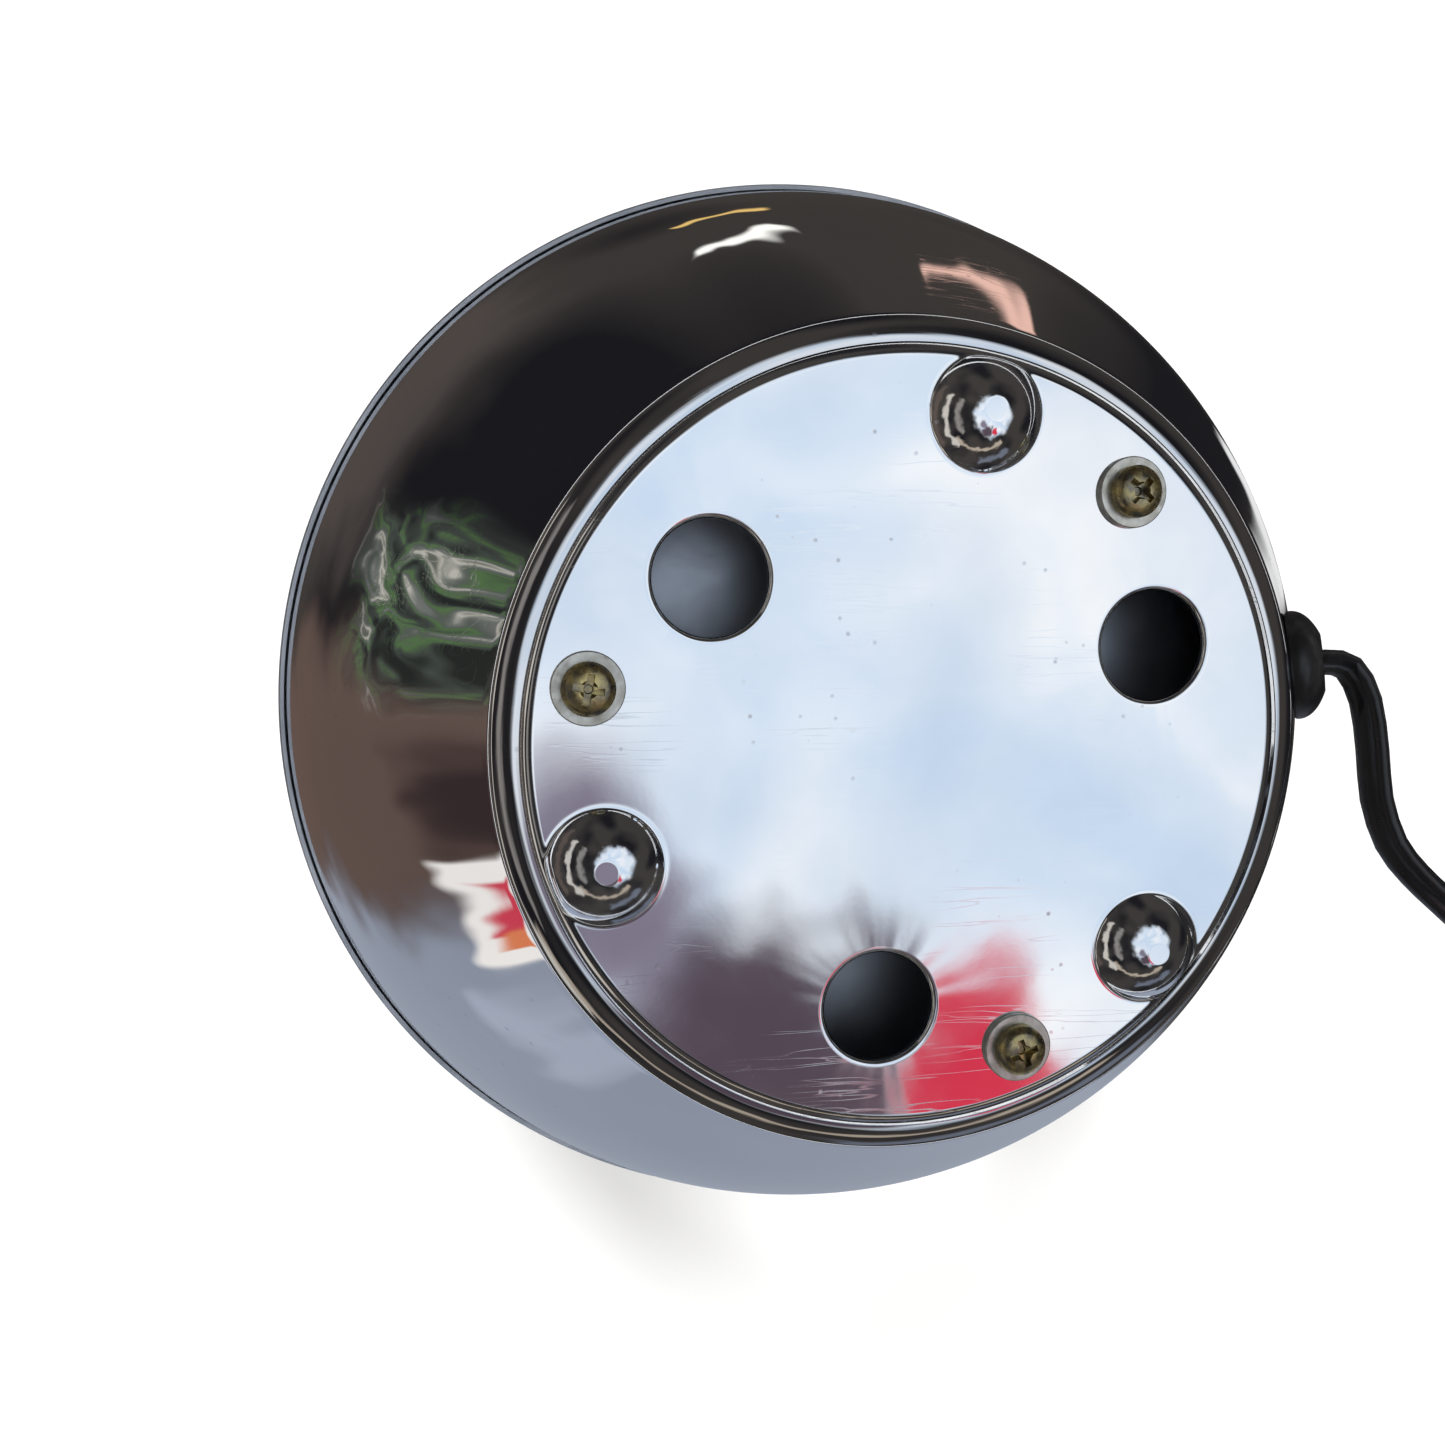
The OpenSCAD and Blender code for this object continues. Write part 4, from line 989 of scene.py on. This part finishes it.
    def build(self) -> tuple:
        """Makes the cord, and the short stretch inside the bowl before it.

        Returns:
            The cord piece and its middle line in metres.
        """
        cord, line = self._sweep("flat_twin_cord", self.plan(), 2)
        dress(cord, "head", "cord_vinyl", "cord_run", "cord_link", "cord_coil", "cord_tail")
        first = [(polar(38, 122, 8.2), 0.0), (polar(41.5, 114, 9.0), 20.0),
                 (polar(46.5, 101, 10.6), 60.0)]
        inner, _ = self._sweep("cord_in_base", first, 5)
        dress(inner, "head", "cord_vinyl")
        return cord, line


@dataclass
class CoilTie:
    """A flat band round the coil's bundle of turns."""

    coil: Point2 = (-138.0, 162.0)
    coil_r: float = 25.0
    wide: float = 6.0
    across: float = 14.6
    tall: float = 9.9
    sheet: float = 0.8

    def build(self) -> bpy.types.Object:
        """Cuts a rounded band from a block and gives it its thickness."""
        bm = bmesh.new()
        middle = Vector((self.coil[0], self.coil[1] - self.coil_r, self.tall / 2 - 0.2))
        place = (Matrix.Translation(middle * MM)
                 @ Matrix.Diagonal((self.wide * MM, self.across * MM, self.tall * MM, 1)))
        bmesh.ops.create_cube(bm, size=1.0, matrix=place)
        ends = [f for f in bm.faces if abs(f.normal.x) > 0.9]
        bmesh.ops.delete(bm, geom=ends, context="FACES_ONLY")
        corners = [e for e in bm.edges if abs(e.verts[0].co.x - e.verts[1].co.x) > 1e-4]
        bmesh.ops.bevel(bm, geom=corners, offset=2.4 * MM, segments=5, profile=0.5,
                        affect="EDGES", material=-1)
        bmesh.ops.recalc_face_normals(bm, faces=bm.faces)
        bmesh.ops.solidify(bm, geom=bm.faces, thickness=-self.sheet * MM)
        bmesh.ops.recalc_face_normals(bm, faces=bm.faces)
        for v in bm.verts:
            v.co.z = max(v.co.z, 0.00002)
        return dress(new_piece("coil_band", bm, 40), "head", "tie_plastic", "coil_tie")


@dataclass
class PlugRelief:
    """The ribbed, tapering boot where the cord goes into the plug."""

    plug: Point2 = (-70.0, 164.0)
    plug_l: float = 32.0
    plug_z: float = 6.85
    length: float = 13.0
    thick_end: float = 4.4
    thin_end: float = 2.9

    def build(self) -> bpy.types.Object:
        """Spins the boot along the cord and lays it behind the plug."""
        steps = 26
        outer = []
        for i in range(steps + 1):
            t = i / steps
            rib = 0.35 * max(0.0, math.sin(t * TURN * 4)) * (1 - t * 0.4)
            taper = self.thick_end + (self.thin_end - self.thick_end) * t
            outer.append((taper + rib, self.length * t))
        tip = [(self.thin_end - 0.4, self.length), (0.0, self.length - 0.2)]
        outline = [(0.0, 0.0)] + outer + tip
        bm = lathe(outline, 48, closed=False)
        behind = Vector((self.plug[0] - self.plug_l / 2 + 0.6, self.plug[1], self.plug_z))
        lay = (Matrix.Translation(behind * MM)
               @ Matrix.Rotation(math.radians(-93), 4, "Y"))
        bmesh.ops.transform(bm, matrix=lay, verts=bm.verts)
        return dress(new_piece("plug_boot", bm, 40), "head", "black_plug")


# ---------------------------------------------------------------- bulb
@dataclass
class Bulb:
    """The blown glass and the shredded wire that fills it."""

    radius: float = 25.0
    centre_z: float = 92.1
    neck_r: float = 11.1
    neck_z: float = 43.6
    low_z: float = 22.6
    join: float = 30.0
    glass: float = 0.8
    strands: int = 30
    strand_points: int = 46
    strand_r: float = 0.1

    def _outside(self) -> list[Point2]:
        """Radius and height of the glass's outer face, from its foot to its crown."""
        a = math.radians(self.join)
        meet = Vector((self.radius * math.cos(a), self.centre_z - self.radius * math.sin(a)))
        pull = [Vector((self.neck_r, self.neck_z)), Vector((self.neck_r, self.neck_z + 12)),
                meet - 14 * Vector((math.sin(a), math.cos(a))), meet]
        line: list[Point2] = [(self.neck_r, self.low_z), (self.neck_r, self.neck_z - 2)]
        line += [tuple(bezier(pull, i / 24)) for i in range(25)]
        line += arc((0, self.centre_z), self.radius, -self.join + 3, 87, 38)
        return line + [(0.0, self.centre_z + self.radius)]

    def glass_piece(self) -> bpy.types.Object:
        """Spins the envelope with its wall."""
        outer = self._outside()
        inner: list[Point2] = []
        for i, (r, z) in enumerate(outer[:-1]):
            before, after = outer[max(i - 1, 0)], outer[i + 1]
            along = (Vector(after) - Vector(before)).normalized()
            inner.append((max(r - along.y * self.glass, 0.0), z + along.x * self.glass))
        outline = outer + [(0.0, self.centre_z + self.radius - self.glass)] + inner[::-1]
        bm = lathe(outline, 96)
        return dress(new_piece("bulb_envelope", bm, 45), "bulb", "bulb_glass", "bulb_glass")

    def filling(self) -> bpy.types.Object:
        """Crumples fine wire into the round part of the envelope."""
        draw = random.Random(7)
        curve = bpy.data.curves.new("wire", "CURVE")
        curve.dimensions = "3D"
        curve.bevel_depth = self.strand_r * MM
        curve.bevel_resolution = 0
        room = self.radius - self.glass - 1.2
        for _ in range(self.strands):
            spline = curve.splines.new("POLY")
            spline.points.add(self.strand_points - 1)
            way = Vector((draw.gauss(0, 1), draw.gauss(0, 1), draw.gauss(0, 1))).normalized()
            here = way * room * draw.uniform(0.3, 0.95)
            for point in spline.points:
                point.co = (here.x * MM, here.y * MM, (here.z + self.centre_z) * MM, 1)
                bend = Vector((draw.gauss(0, 1), draw.gauss(0, 1), draw.gauss(0, 1)))
                way = (way + 0.55 * bend).normalized()
                step = here + way * 3.1
                if step.length > room or step.z < -room * 0.82:
                    way = (-here.normalized() + 0.9 * bend).normalized()
                    step = here + way * 3.1
                here = step * min(1.0, room / max(step.length, 1e-6))
        drawn = bpy.data.objects.new("wire_line", curve)
        bpy.context.scene.collection.objects.link(drawn)
        bm = drawn_mesh(drawn)
        return dress(new_piece("shredded_wire", bm, 60), "bulb", "magnesium_wire", "bulb_filling")


# ---------------------------------------------------------------- what the object stands in
class Hides(Enum):
    """Which rays a stage piece is hidden from."""

    CAMERA = "visible_camera"
    GLOSS = "visible_glossy"
    DIFFUSE = "visible_diffuse"
    SHADOW = "visible_shadow"
    GLASS = "visible_transmission"


@dataclass(frozen=True)
class Card:
    """A soft-edged panel of the surroundings, by compass and height, that the chrome mirrors."""

    compass: float
    height: float
    half_wide: float
    half_high: float
    soft: float
    colour: str
    glow: float = 1.0
    leafy: bool = False


@dataclass(frozen=True)
class Patch:
    """A soft-edged disc below the object that the plate mirrors."""

    at: Point2
    reach: float
    soft: float
    colour: str


# foliage from its deepest gaps to its pale stems, by the height of the noise that draws it
FOLIAGE: tuple[tuple[float, str], ...] = (
    (0.34, "2A2D2A"), (0.45, "4B514A"), (0.50, "5B7A4C"), (0.54, "5E635C"), (0.60, "7C7F78"),
    (0.63, "CFCABD"), (0.68, "676B60"))


@dataclass
class Surroundings:
    """A plain bright studio for the eye, and a dim room with panels for the chrome to mirror."""

    room: str = "413D3A"
    corner: str = "1E1D20"
    air: str = "D2E3F5"
    cloud: str = "FDFEFF"
    bend: float = 0.26
    cards: tuple[Card, ...] = (
        Card(-178, 35, 56, 34, 7, "9CA3B1"),
        Card(-149, 28, 10, 2.5, 2, "B3B9C8"),
        Card(-165, 16, 18, 6, 5, "A9B4CC", 0.9),
        Card(-104, 40, 20, 32, 8, "6B5850"),
        Card(-107, 17, 9, 5, 3.5, "3D3030"),
        Card(-126, 20, 10, 3.4, 0.8, "FFF8F0", 1.1),
        Card(-124, 21, 3.5, 0.9, 0.4, "E0485A"),
        Card(-129, 20.5, 2.5, 0.8, 0.4, "F08A5C"),
        Card(-76, 24, 13, 9, 5, "5E635C", leafy=True),
        Card(-48, 50, 24, 14, 9, "544C48"),
        Card(5, 43, 5, 0.8, 0.5, "D9B36B", 1.4),
        Card(0, 32.5, 7, 1.0, 0.6, "F4F1E8", 1.5),
        Card(31, 33, 6, 0.6, 0.5, "E6B9A8", 1.3),
        Card(79, 50, 6, 2.5, 1.2, "ECECEC"),
        Card(0, 90, 180, 18, 6, "C9CED6"),
        Card(-92, -52, 44, 4, 3, "8E8984"),
        Card(-98, -33, 50, 3, 2, "CFC8BD"),
        Card(-88, -15, 46, 4, 3, "5E534C"),
        Card(178, -38, 46, 2.5, 2, "B9AA98"),
        Card(150, -20, 22, 4, 3, "6F7480"),
    )
    sky_at: Point2 = (95.0, -73.0)
    sky_reach: float = 28.0
    sky_soft: float = 5.0
    patches: tuple[Patch, ...] = (
        Patch((157, -65.5), 8.2, 1.6, "5A4C56"),
        Patch((172, -76), 5, 2.5, "857C8C"),
        Patch((136, -57.5), 4.6, 0.8, "DB3A50"),
    )
    paper_white: str = "E9E8E6"
    bare_r: float = 0.115
    table_z: float = -0.0004

    @staticmethod
    def _smooth(tree: bpy.types.NodeTree, value: bpy.types.NodeSocket, edge: float,
                soft: float) -> bpy.types.NodeSocket:
        """1 below an edge and 0 above it, with a soft step, in radians."""
        return add_node(tree, "ShaderNodeMapRange", {"interpolation_type": "SMOOTHSTEP"}, {
            "From Min": math.radians(edge - soft), "From Max": math.radians(edge + soft),
            "To Min": 1.0, "To Max": 0.0}, {"Value": value}).outputs[0]

    @staticmethod
    def _leaves(tree: bpy.types.NodeTree, way: bpy.types.NodeSocket) -> bpy.types.NodeSocket:
        """Foliage with gaps and pale stems, broken up by a distorted noise."""
        clump = add_node(tree, "ShaderNodeTexNoise",
                         values={"Scale": 9.0, "Detail": 2.5, "Distortion": 1.4},
                         links={"Vector": way})
        ramp = add_node(tree, "ShaderNodeValToRGB", links={"Fac": clump.outputs[0]})
        stops = ramp.color_ramp.elements
        stops.remove(stops[1])
        for place, colour in FOLIAGE:
            stops.new(place).color = linear(colour)
        stops.remove(stops[0])
        return ramp.outputs[0]

    def _over(self, tree: bpy.types.NodeTree, below: bpy.types.NodeSocket,
              mask: bpy.types.NodeSocket, colour: str, glow: float) -> bpy.types.NodeSocket:
        """Lays a colour over another where a mask says so."""
        shade = [c * glow for c in linear(colour)[:3]] + [1.0]
        return add_node(tree, "ShaderNodeMix", {"data_type": "RGBA", "clamp_result": False},
                        {MIX_B: shade}, {0: mask, MIX_A: below}).outputs[MIX_OUT]

    def _disc(self, tree: bpy.types.NodeTree, way: bpy.types.NodeSocket, at: Point2,
              reach: float, soft: float) -> bpy.types.NodeSocket:
        """1 within an angle of a direction."""
        a, e = math.radians(at[0]), math.radians(at[1])
        centre = (math.cos(a) * math.cos(e), math.sin(a) * math.cos(e), math.sin(e))
        dot = add_node(tree, "ShaderNodeVectorMath", {"operation": "DOT_PRODUCT"},
                       {1: centre}, {0: way})
        angle = add_node(tree, "ShaderNodeMath", {"operation": "ARCCOSINE"},
                         links={0: dot.outputs["Value"]})
        return self._smooth(tree, angle.outputs[0], reach, soft)

    def world(self) -> None:
        """Builds the world: white for the eye and for soft light, the room for reflections."""
        world = bpy.data.worlds.new("studio")
        bpy.context.scene.world = world
        world.use_nodes = True
        tree = world.node_tree
        tree.nodes.clear()
        look = add_node(tree, "ShaderNodeTexCoord").outputs["Generated"]
        ripple = add_node(tree, "ShaderNodeTexNoise", values={"Scale": 5.0, "Detail": 2.0},
                          links={"Vector": look})
        centred = add_node(tree, "ShaderNodeVectorMath", {"operation": "SUBTRACT"},
                           {1: (0.5, 0.5, 0.5)}, {0: ripple.outputs["Color"]})
        small = add_node(tree, "ShaderNodeVectorMath", {"operation": "SCALE"},
                         {"Scale": self.bend}, {0: centred.outputs[0]})
        bent = add_node(tree, "ShaderNodeVectorMath", {"operation": "ADD"},
                        links={0: look, 1: small.outputs[0]})
        way = add_node(tree, "ShaderNodeVectorMath", {"operation": "NORMALIZE"},
                       links={0: bent.outputs[0]}).outputs[0]
        parts = add_node(tree, "ShaderNodeSeparateXYZ", links={0: way})
        compass = add_node(tree, "ShaderNodeMath", {"operation": "ARCTAN2"},
                           links={0: parts.outputs[1], 1: parts.outputs[0]}).outputs[0]
        height = add_node(tree, "ShaderNodeMath", {"operation": "ARCSINE"},
                          links={0: parts.outputs[2]}).outputs[0]
        gloom = add_node(tree, "ShaderNodeTexNoise", values={"Scale": 1.7, "Detail": 1.0},
                         links={"Vector": look})
        mix = add_node(tree, "ShaderNodeMapRange", values={"From Min": 0.4, "From Max": 0.6},
                       links={"Value": gloom.outputs[0]})
        view = add_node(tree, "ShaderNodeMix", {"data_type": "RGBA"},
                        {MIX_A: linear(self.room), MIX_B: linear(self.corner)},
                        {0: mix.outputs[0]}).outputs[MIX_OUT]
        for card in self.cards:
            turn = add_node(tree, "ShaderNodeMath", {"operation": "SUBTRACT"},
                            {1: math.radians(card.compass)}, {0: compass})
            wrapped = add_node(tree, "ShaderNodeMath", {"operation": "COSINE"},
                               links={0: turn.outputs[0]})
            side = add_node(tree, "ShaderNodeMath", {"operation": "ARCCOSINE"},
                            links={0: wrapped.outputs[0]})
            rise = add_node(tree, "ShaderNodeMath", {"operation": "SUBTRACT"},
                            {1: math.radians(card.height)}, {0: height})
            tall = add_node(tree, "ShaderNodeMath", {"operation": "ABSOLUTE"},
                            links={0: rise.outputs[0]})
            mask = add_node(tree, "ShaderNodeMath", {"operation": "MULTIPLY"}, links={
                0: self._smooth(tree, side.outputs[0], card.half_wide, card.soft),
                1: self._smooth(tree, tall.outputs[0], card.half_high, card.soft)})
            if card.leafy:
                view = add_node(tree, "ShaderNodeMix", {"data_type": "RGBA"}, links={
                    0: mask.outputs[0], MIX_A: view,
                    MIX_B: self._leaves(tree, way)}).outputs[MIX_OUT]
            else:
                view = self._over(tree, view, mask.outputs[0], card.colour, card.glow)
        sky = self._disc(tree, way, self.sky_at, self.sky_reach, self.sky_soft)
        cloud = add_node(tree, "ShaderNodeTexNoise",
                         values={"Scale": 3.2, "Detail": 3.0, "Distortion": 0.8},
                         links={"Vector": look})
        bright = add_node(tree, "ShaderNodeMapRange", values={"From Min": 0.35, "From Max": 0.65},
                          links={"Value": cloud.outputs[0]})
        air = add_node(tree, "ShaderNodeMix", {"data_type": "RGBA"},
                       {MIX_A: linear(self.air), MIX_B: linear(self.cloud)},
                       {0: bright.outputs[0]})
        view = add_node(tree, "ShaderNodeMix", {"data_type": "RGBA"},
                        links={0: sky, MIX_A: view, MIX_B: air.outputs[MIX_OUT]}).outputs[MIX_OUT]
        for patch in self.patches:
            shade = self._disc(tree, way, patch.at, patch.reach, patch.soft)
            view = self._over(tree, view, shade, patch.colour, 1.0)
        path = add_node(tree, "ShaderNodeLightPath")
        mirrored = add_node(tree, "ShaderNodeBackground", links={"Color": view})
        plain = add_node(tree, "ShaderNodeBackground",
                         values={"Color": linear("FFFFFF"), "Strength": 0.75})
        eye = add_node(tree, "ShaderNodeBackground",
                       values={"Color": linear("FFFFFF"), "Strength": 1.0})
        soft = add_node(tree, "ShaderNodeMixShader", links={
            0: path.outputs["Is Glossy Ray"], 1: plain.outputs[0], 2: mirrored.outputs[0]})
        whole = add_node(tree, "ShaderNodeMixShader", links={
            0: path.outputs["Is Camera Ray"], 1: soft.outputs[0], 2: eye.outputs[0]})
        add_node(tree, "ShaderNodeOutputWorld", links={"Surface": whole.outputs[0]})

    @staticmethod
    def _sheet(name: str, z: float, inner: float, outer: float, colour: str, glow: float,
               upwards: bool) -> bpy.types.Object:
        """A flat ring or disc that is seen from one side only.

        Args:
            name: the stage piece's name.
            z: its height.
            inner: the radius of its hole, or 0.
            outer: its radius.
            colour: its colour.
            glow: how much light of its own it adds.
            upwards: whether it is seen from above.

        Returns:
            The stage object.
        """
        bm = bmesh.new()
        if inner:
            bmesh.ops.create_circle(bm, cap_ends=False, segments=96, radius=inner)
            grown = bmesh.ops.extrude_edge_only(bm, edges=bm.edges[:])["geom"]
            far = [v for v in grown if isinstance(v, bmesh.types.BMVert)]
            bmesh.ops.scale(bm, vec=(outer / inner,) * 2 + (1,), verts=far)
        else:
            bmesh.ops.create_circle(bm, cap_ends=True, segments=96, radius=outer)
        bmesh.ops.translate(bm, vec=(0, 0, z), verts=bm.verts)
        bmesh.ops.recalc_face_normals(bm, faces=bm.faces)
        for f in bm.faces:
            if (f.normal.z > 0) != upwards:
                f.normal_flip()
        sheet = new_piece(name, bm)
        mat = bpy.data.materials.new(name)
        mat.use_nodes = True
        tree = mat.node_tree
        tree.nodes.clear()
        shade = add_node(tree, "ShaderNodeBsdfPrincipled", values={
            "Base Color": linear(colour), "Roughness": 0.9, "Specular IOR Level": 0.1,
            "Emission Color": linear(colour), "Emission Strength": glow})
        clear = add_node(tree, "ShaderNodeBsdfTransparent")
        back = add_node(tree, "ShaderNodeNewGeometry")
        one_way = add_node(tree, "ShaderNodeMixShader", links={
            0: back.outputs["Backfacing"], 1: shade.outputs[0], 2: clear.outputs[0]})
        add_node(tree, "ShaderNodeOutputMaterial", links={"Surface": one_way.outputs[0]})
        sheet.data.materials.append(mat)
        return sheet

    @staticmethod
    def _hide(thing: bpy.types.Object, *rays: Hides) -> None:
        """Hides a stage piece or light from some kinds of ray."""
        for ray in rays:
            setattr(thing, ray.value, False)

    def _lamp(self, name: str, at: Point3, size: float, watts: float) -> bpy.types.Object:
        """A square softbox that points at the bowl."""
        light = bpy.data.lights.new(name, "AREA")
        light.size = size
        light.energy = watts
        lamp = bpy.data.objects.new(name, light)
        lamp.location = at
        aim = Vector((0, 0, 0.03)) - Vector(at)
        lamp.rotation_euler = aim.to_track_quat("-Z", "Y").to_euler()
        bpy.context.scene.collection.objects.link(lamp)
        self._hide(lamp, Hides.CAMERA, Hides.GLOSS)
        return lamp

    def build(self) -> None:
        """Lays the pale table, hangs the white backdrop above and sets the lights."""
        self.world()
        white, bare, low = self.paper_white, self.bare_r, self.table_z
        ring = self._sheet("table_ring", low, bare, 1.6, white, 0.0, True)
        spot = self._sheet("table_spot", low, 0.0, bare, white, 0.0, True)
        self._hide(ring, Hides.SHADOW)
        self._hide(spot, Hides.SHADOW, Hides.GLOSS)
        # the flank mirrors the table close by, which the bare plate and lip below it must not
        near = self._sheet("mirrored_table", 0.0065, 0.0575, bare, white, 0.0, True)
        self._hide(near, Hides.CAMERA, Hides.DIFFUSE, Hides.SHADOW, Hides.GLASS)
        paper = self._sheet("white_paper", 0.17, 0.0, 0.75, "CBCBCB", 0.33, False)
        self._hide(paper, Hides.GLOSS, Hides.DIFFUSE, Hides.SHADOW, Hides.GLASS)
        self._lamp("key_softbox", (0.7, -0.6, 0.9), 0.6, 9.0)
        self._lamp("fill_softbox", (-0.8, 0.4, 0.7), 0.8, 5.0)
        self._shade_sun(paper)

    @staticmethod
    def _shade_sun(paper: bpy.types.Object) -> None:
        """Lets the bowl alone throw a soft shadow on the white paper behind it."""
        sun = bpy.data.lights.new("shade_sun", "SUN")
        sun.energy = 3.2
        sun.angle = math.radians(13)
        shade = bpy.data.objects.new("shade_sun", sun)
        shade.rotation_euler = Vector((-0.76, 0.24, 0.85)).to_track_quat("-Z", "Y").to_euler()
        bpy.context.scene.collection.objects.link(shade)
        lit = bpy.data.collections.new("lit_by_shade_sun")
        lit.objects.link(paper)
        shade.light_linking.receiver_collection = lit
        shading = bpy.data.collections.new("shading_the_paper")
        shading.objects.link(bpy.data.objects["chromed_bowl"])
        shade.light_linking.blocker_collection = shading


@dataclass
class Camera:
    """A hand-held phone's wide lens, close under the base and looking up at it."""

    at: Point3 = (0.01787, -0.05143, -0.1395)
    towards: Point3 = (-0.09785, 0.17031, 0.98052)
    up: Point3 = (0.99519, 0.01297, 0.09706)
    lens: float = 28.32

    def build(self) -> None:
        """Sets the scene's camera."""
        data = bpy.data.cameras.new("camera")
        data.lens = self.lens
        data.sensor_width = 36.0
        data.clip_start = 0.01
        camera = bpy.data.objects.new("camera", data)
        back = -Vector(self.towards).normalized()
        right = Vector(self.up).cross(back).normalized()
        turn = Matrix((right, back.cross(right), back)).transposed().to_4x4()
        camera.matrix_world = Matrix.Translation(self.at) @ turn
        bpy.context.scene.collection.objects.link(camera)
        bpy.context.scene.camera = camera


CARRIED: tuple[CarriedPiece, ...] = (
    CarriedPiece("shell_nuts", "zinc_hardware", rounding=0.2),
    CarriedPiece("plate_washers", "zinc_hardware", rounding=0.15),
    CarriedPiece("plate_screws", "passivated_screws", rounding=0.18),
    CarriedPiece("lampholder_body", "porcelain", rounding=0.5),
    CarriedPiece("holder_screws", "zinc_hardware", rounding=0.15),
    CarriedPiece("holder_nuts", "zinc_hardware", rounding=0.2),
    CarriedPiece("thread_sleeve", "brass"),
    CarriedPiece("centre_contact", "phosphor_bronze", rounding=0.1),
    CarriedPiece("centre_rivet", "brass", rounding=0.1),
    CarriedPiece("sleeve_terminal", "brass", rounding=0.1),
    CarriedPiece("centre_terminal", "brass", rounding=0.1),
    CarriedPiece("terminal_screws", "brass", rounding=0.12),
    CarriedPiece("lead_wire_a", "wire_insulation", crease=60),
    CarriedPiece("lead_wire_b", "wire_insulation", crease=60),
    CarriedPiece("switch_base", "black_bakelite", rounding=0.7),
    CarriedPiece("switch_cover", "black_bakelite", rounding=0.8),
    CarriedPiece("switch_screws", "zinc_hardware", rounding=0.12),
    CarriedPiece("switch_pivot", "zinc_hardware", rounding=0.1),
    CarriedPiece("switch_contacts", "phosphor_bronze", rounding=0.08),
    CarriedPiece("switch_rocker", "red_rocker", "rocker", rounding=0.5),
    CarriedPiece("rocker_bridge", "phosphor_bronze", "rocker", rounding=0.1),
    CarriedPiece("plug_body", "black_plug", rounding=1.4, segments=4),
    CarriedPiece("plug_pins", "nickel_brass", rounding=0.15),
    CarriedPiece("bulb_cap", "cap_brass", "bulb", crease=60),
    CarriedPiece("bulb_insulator", "black_glass", "bulb", rounding=0.3),
    CarriedPiece("bulb_tip", "solder", "bulb_carrier", rounding=0.3),
    CarriedPiece("bulb_stem", "bulb_glass", "bulb", rounding=0.4),
    CarriedPiece("bulb_leads", "lead_in_wire", "bulb"),
    CarriedPiece("bulb_primers", "primer_paste", "bulb", crease=60),
)


def main() -> None:
    """Builds the camera, the cord, every piece and the surroundings, in that order."""
    bpy.context.scene.view_settings.view_transform = "Standard"
    Camera().build()
    cord = TwinCord()
    run, line = cord.build()
    made = {carried.node: carried.build() for carried in CARRIED}
    bush = Grommet().build()
    band = CoilTie().build()
    boot = PlugRelief().build()
    Bowl().build()
    BasePlate().build()
    Reflector().build()
    bulb = Bulb()
    bulb.glass_piece()
    bulb.filling()
    Surroundings().build()
    LOG.info("cord %.3f m", sum((b - a).length for a, b in zip(line, line[1:])))


if __name__ == "__main__":
    main()
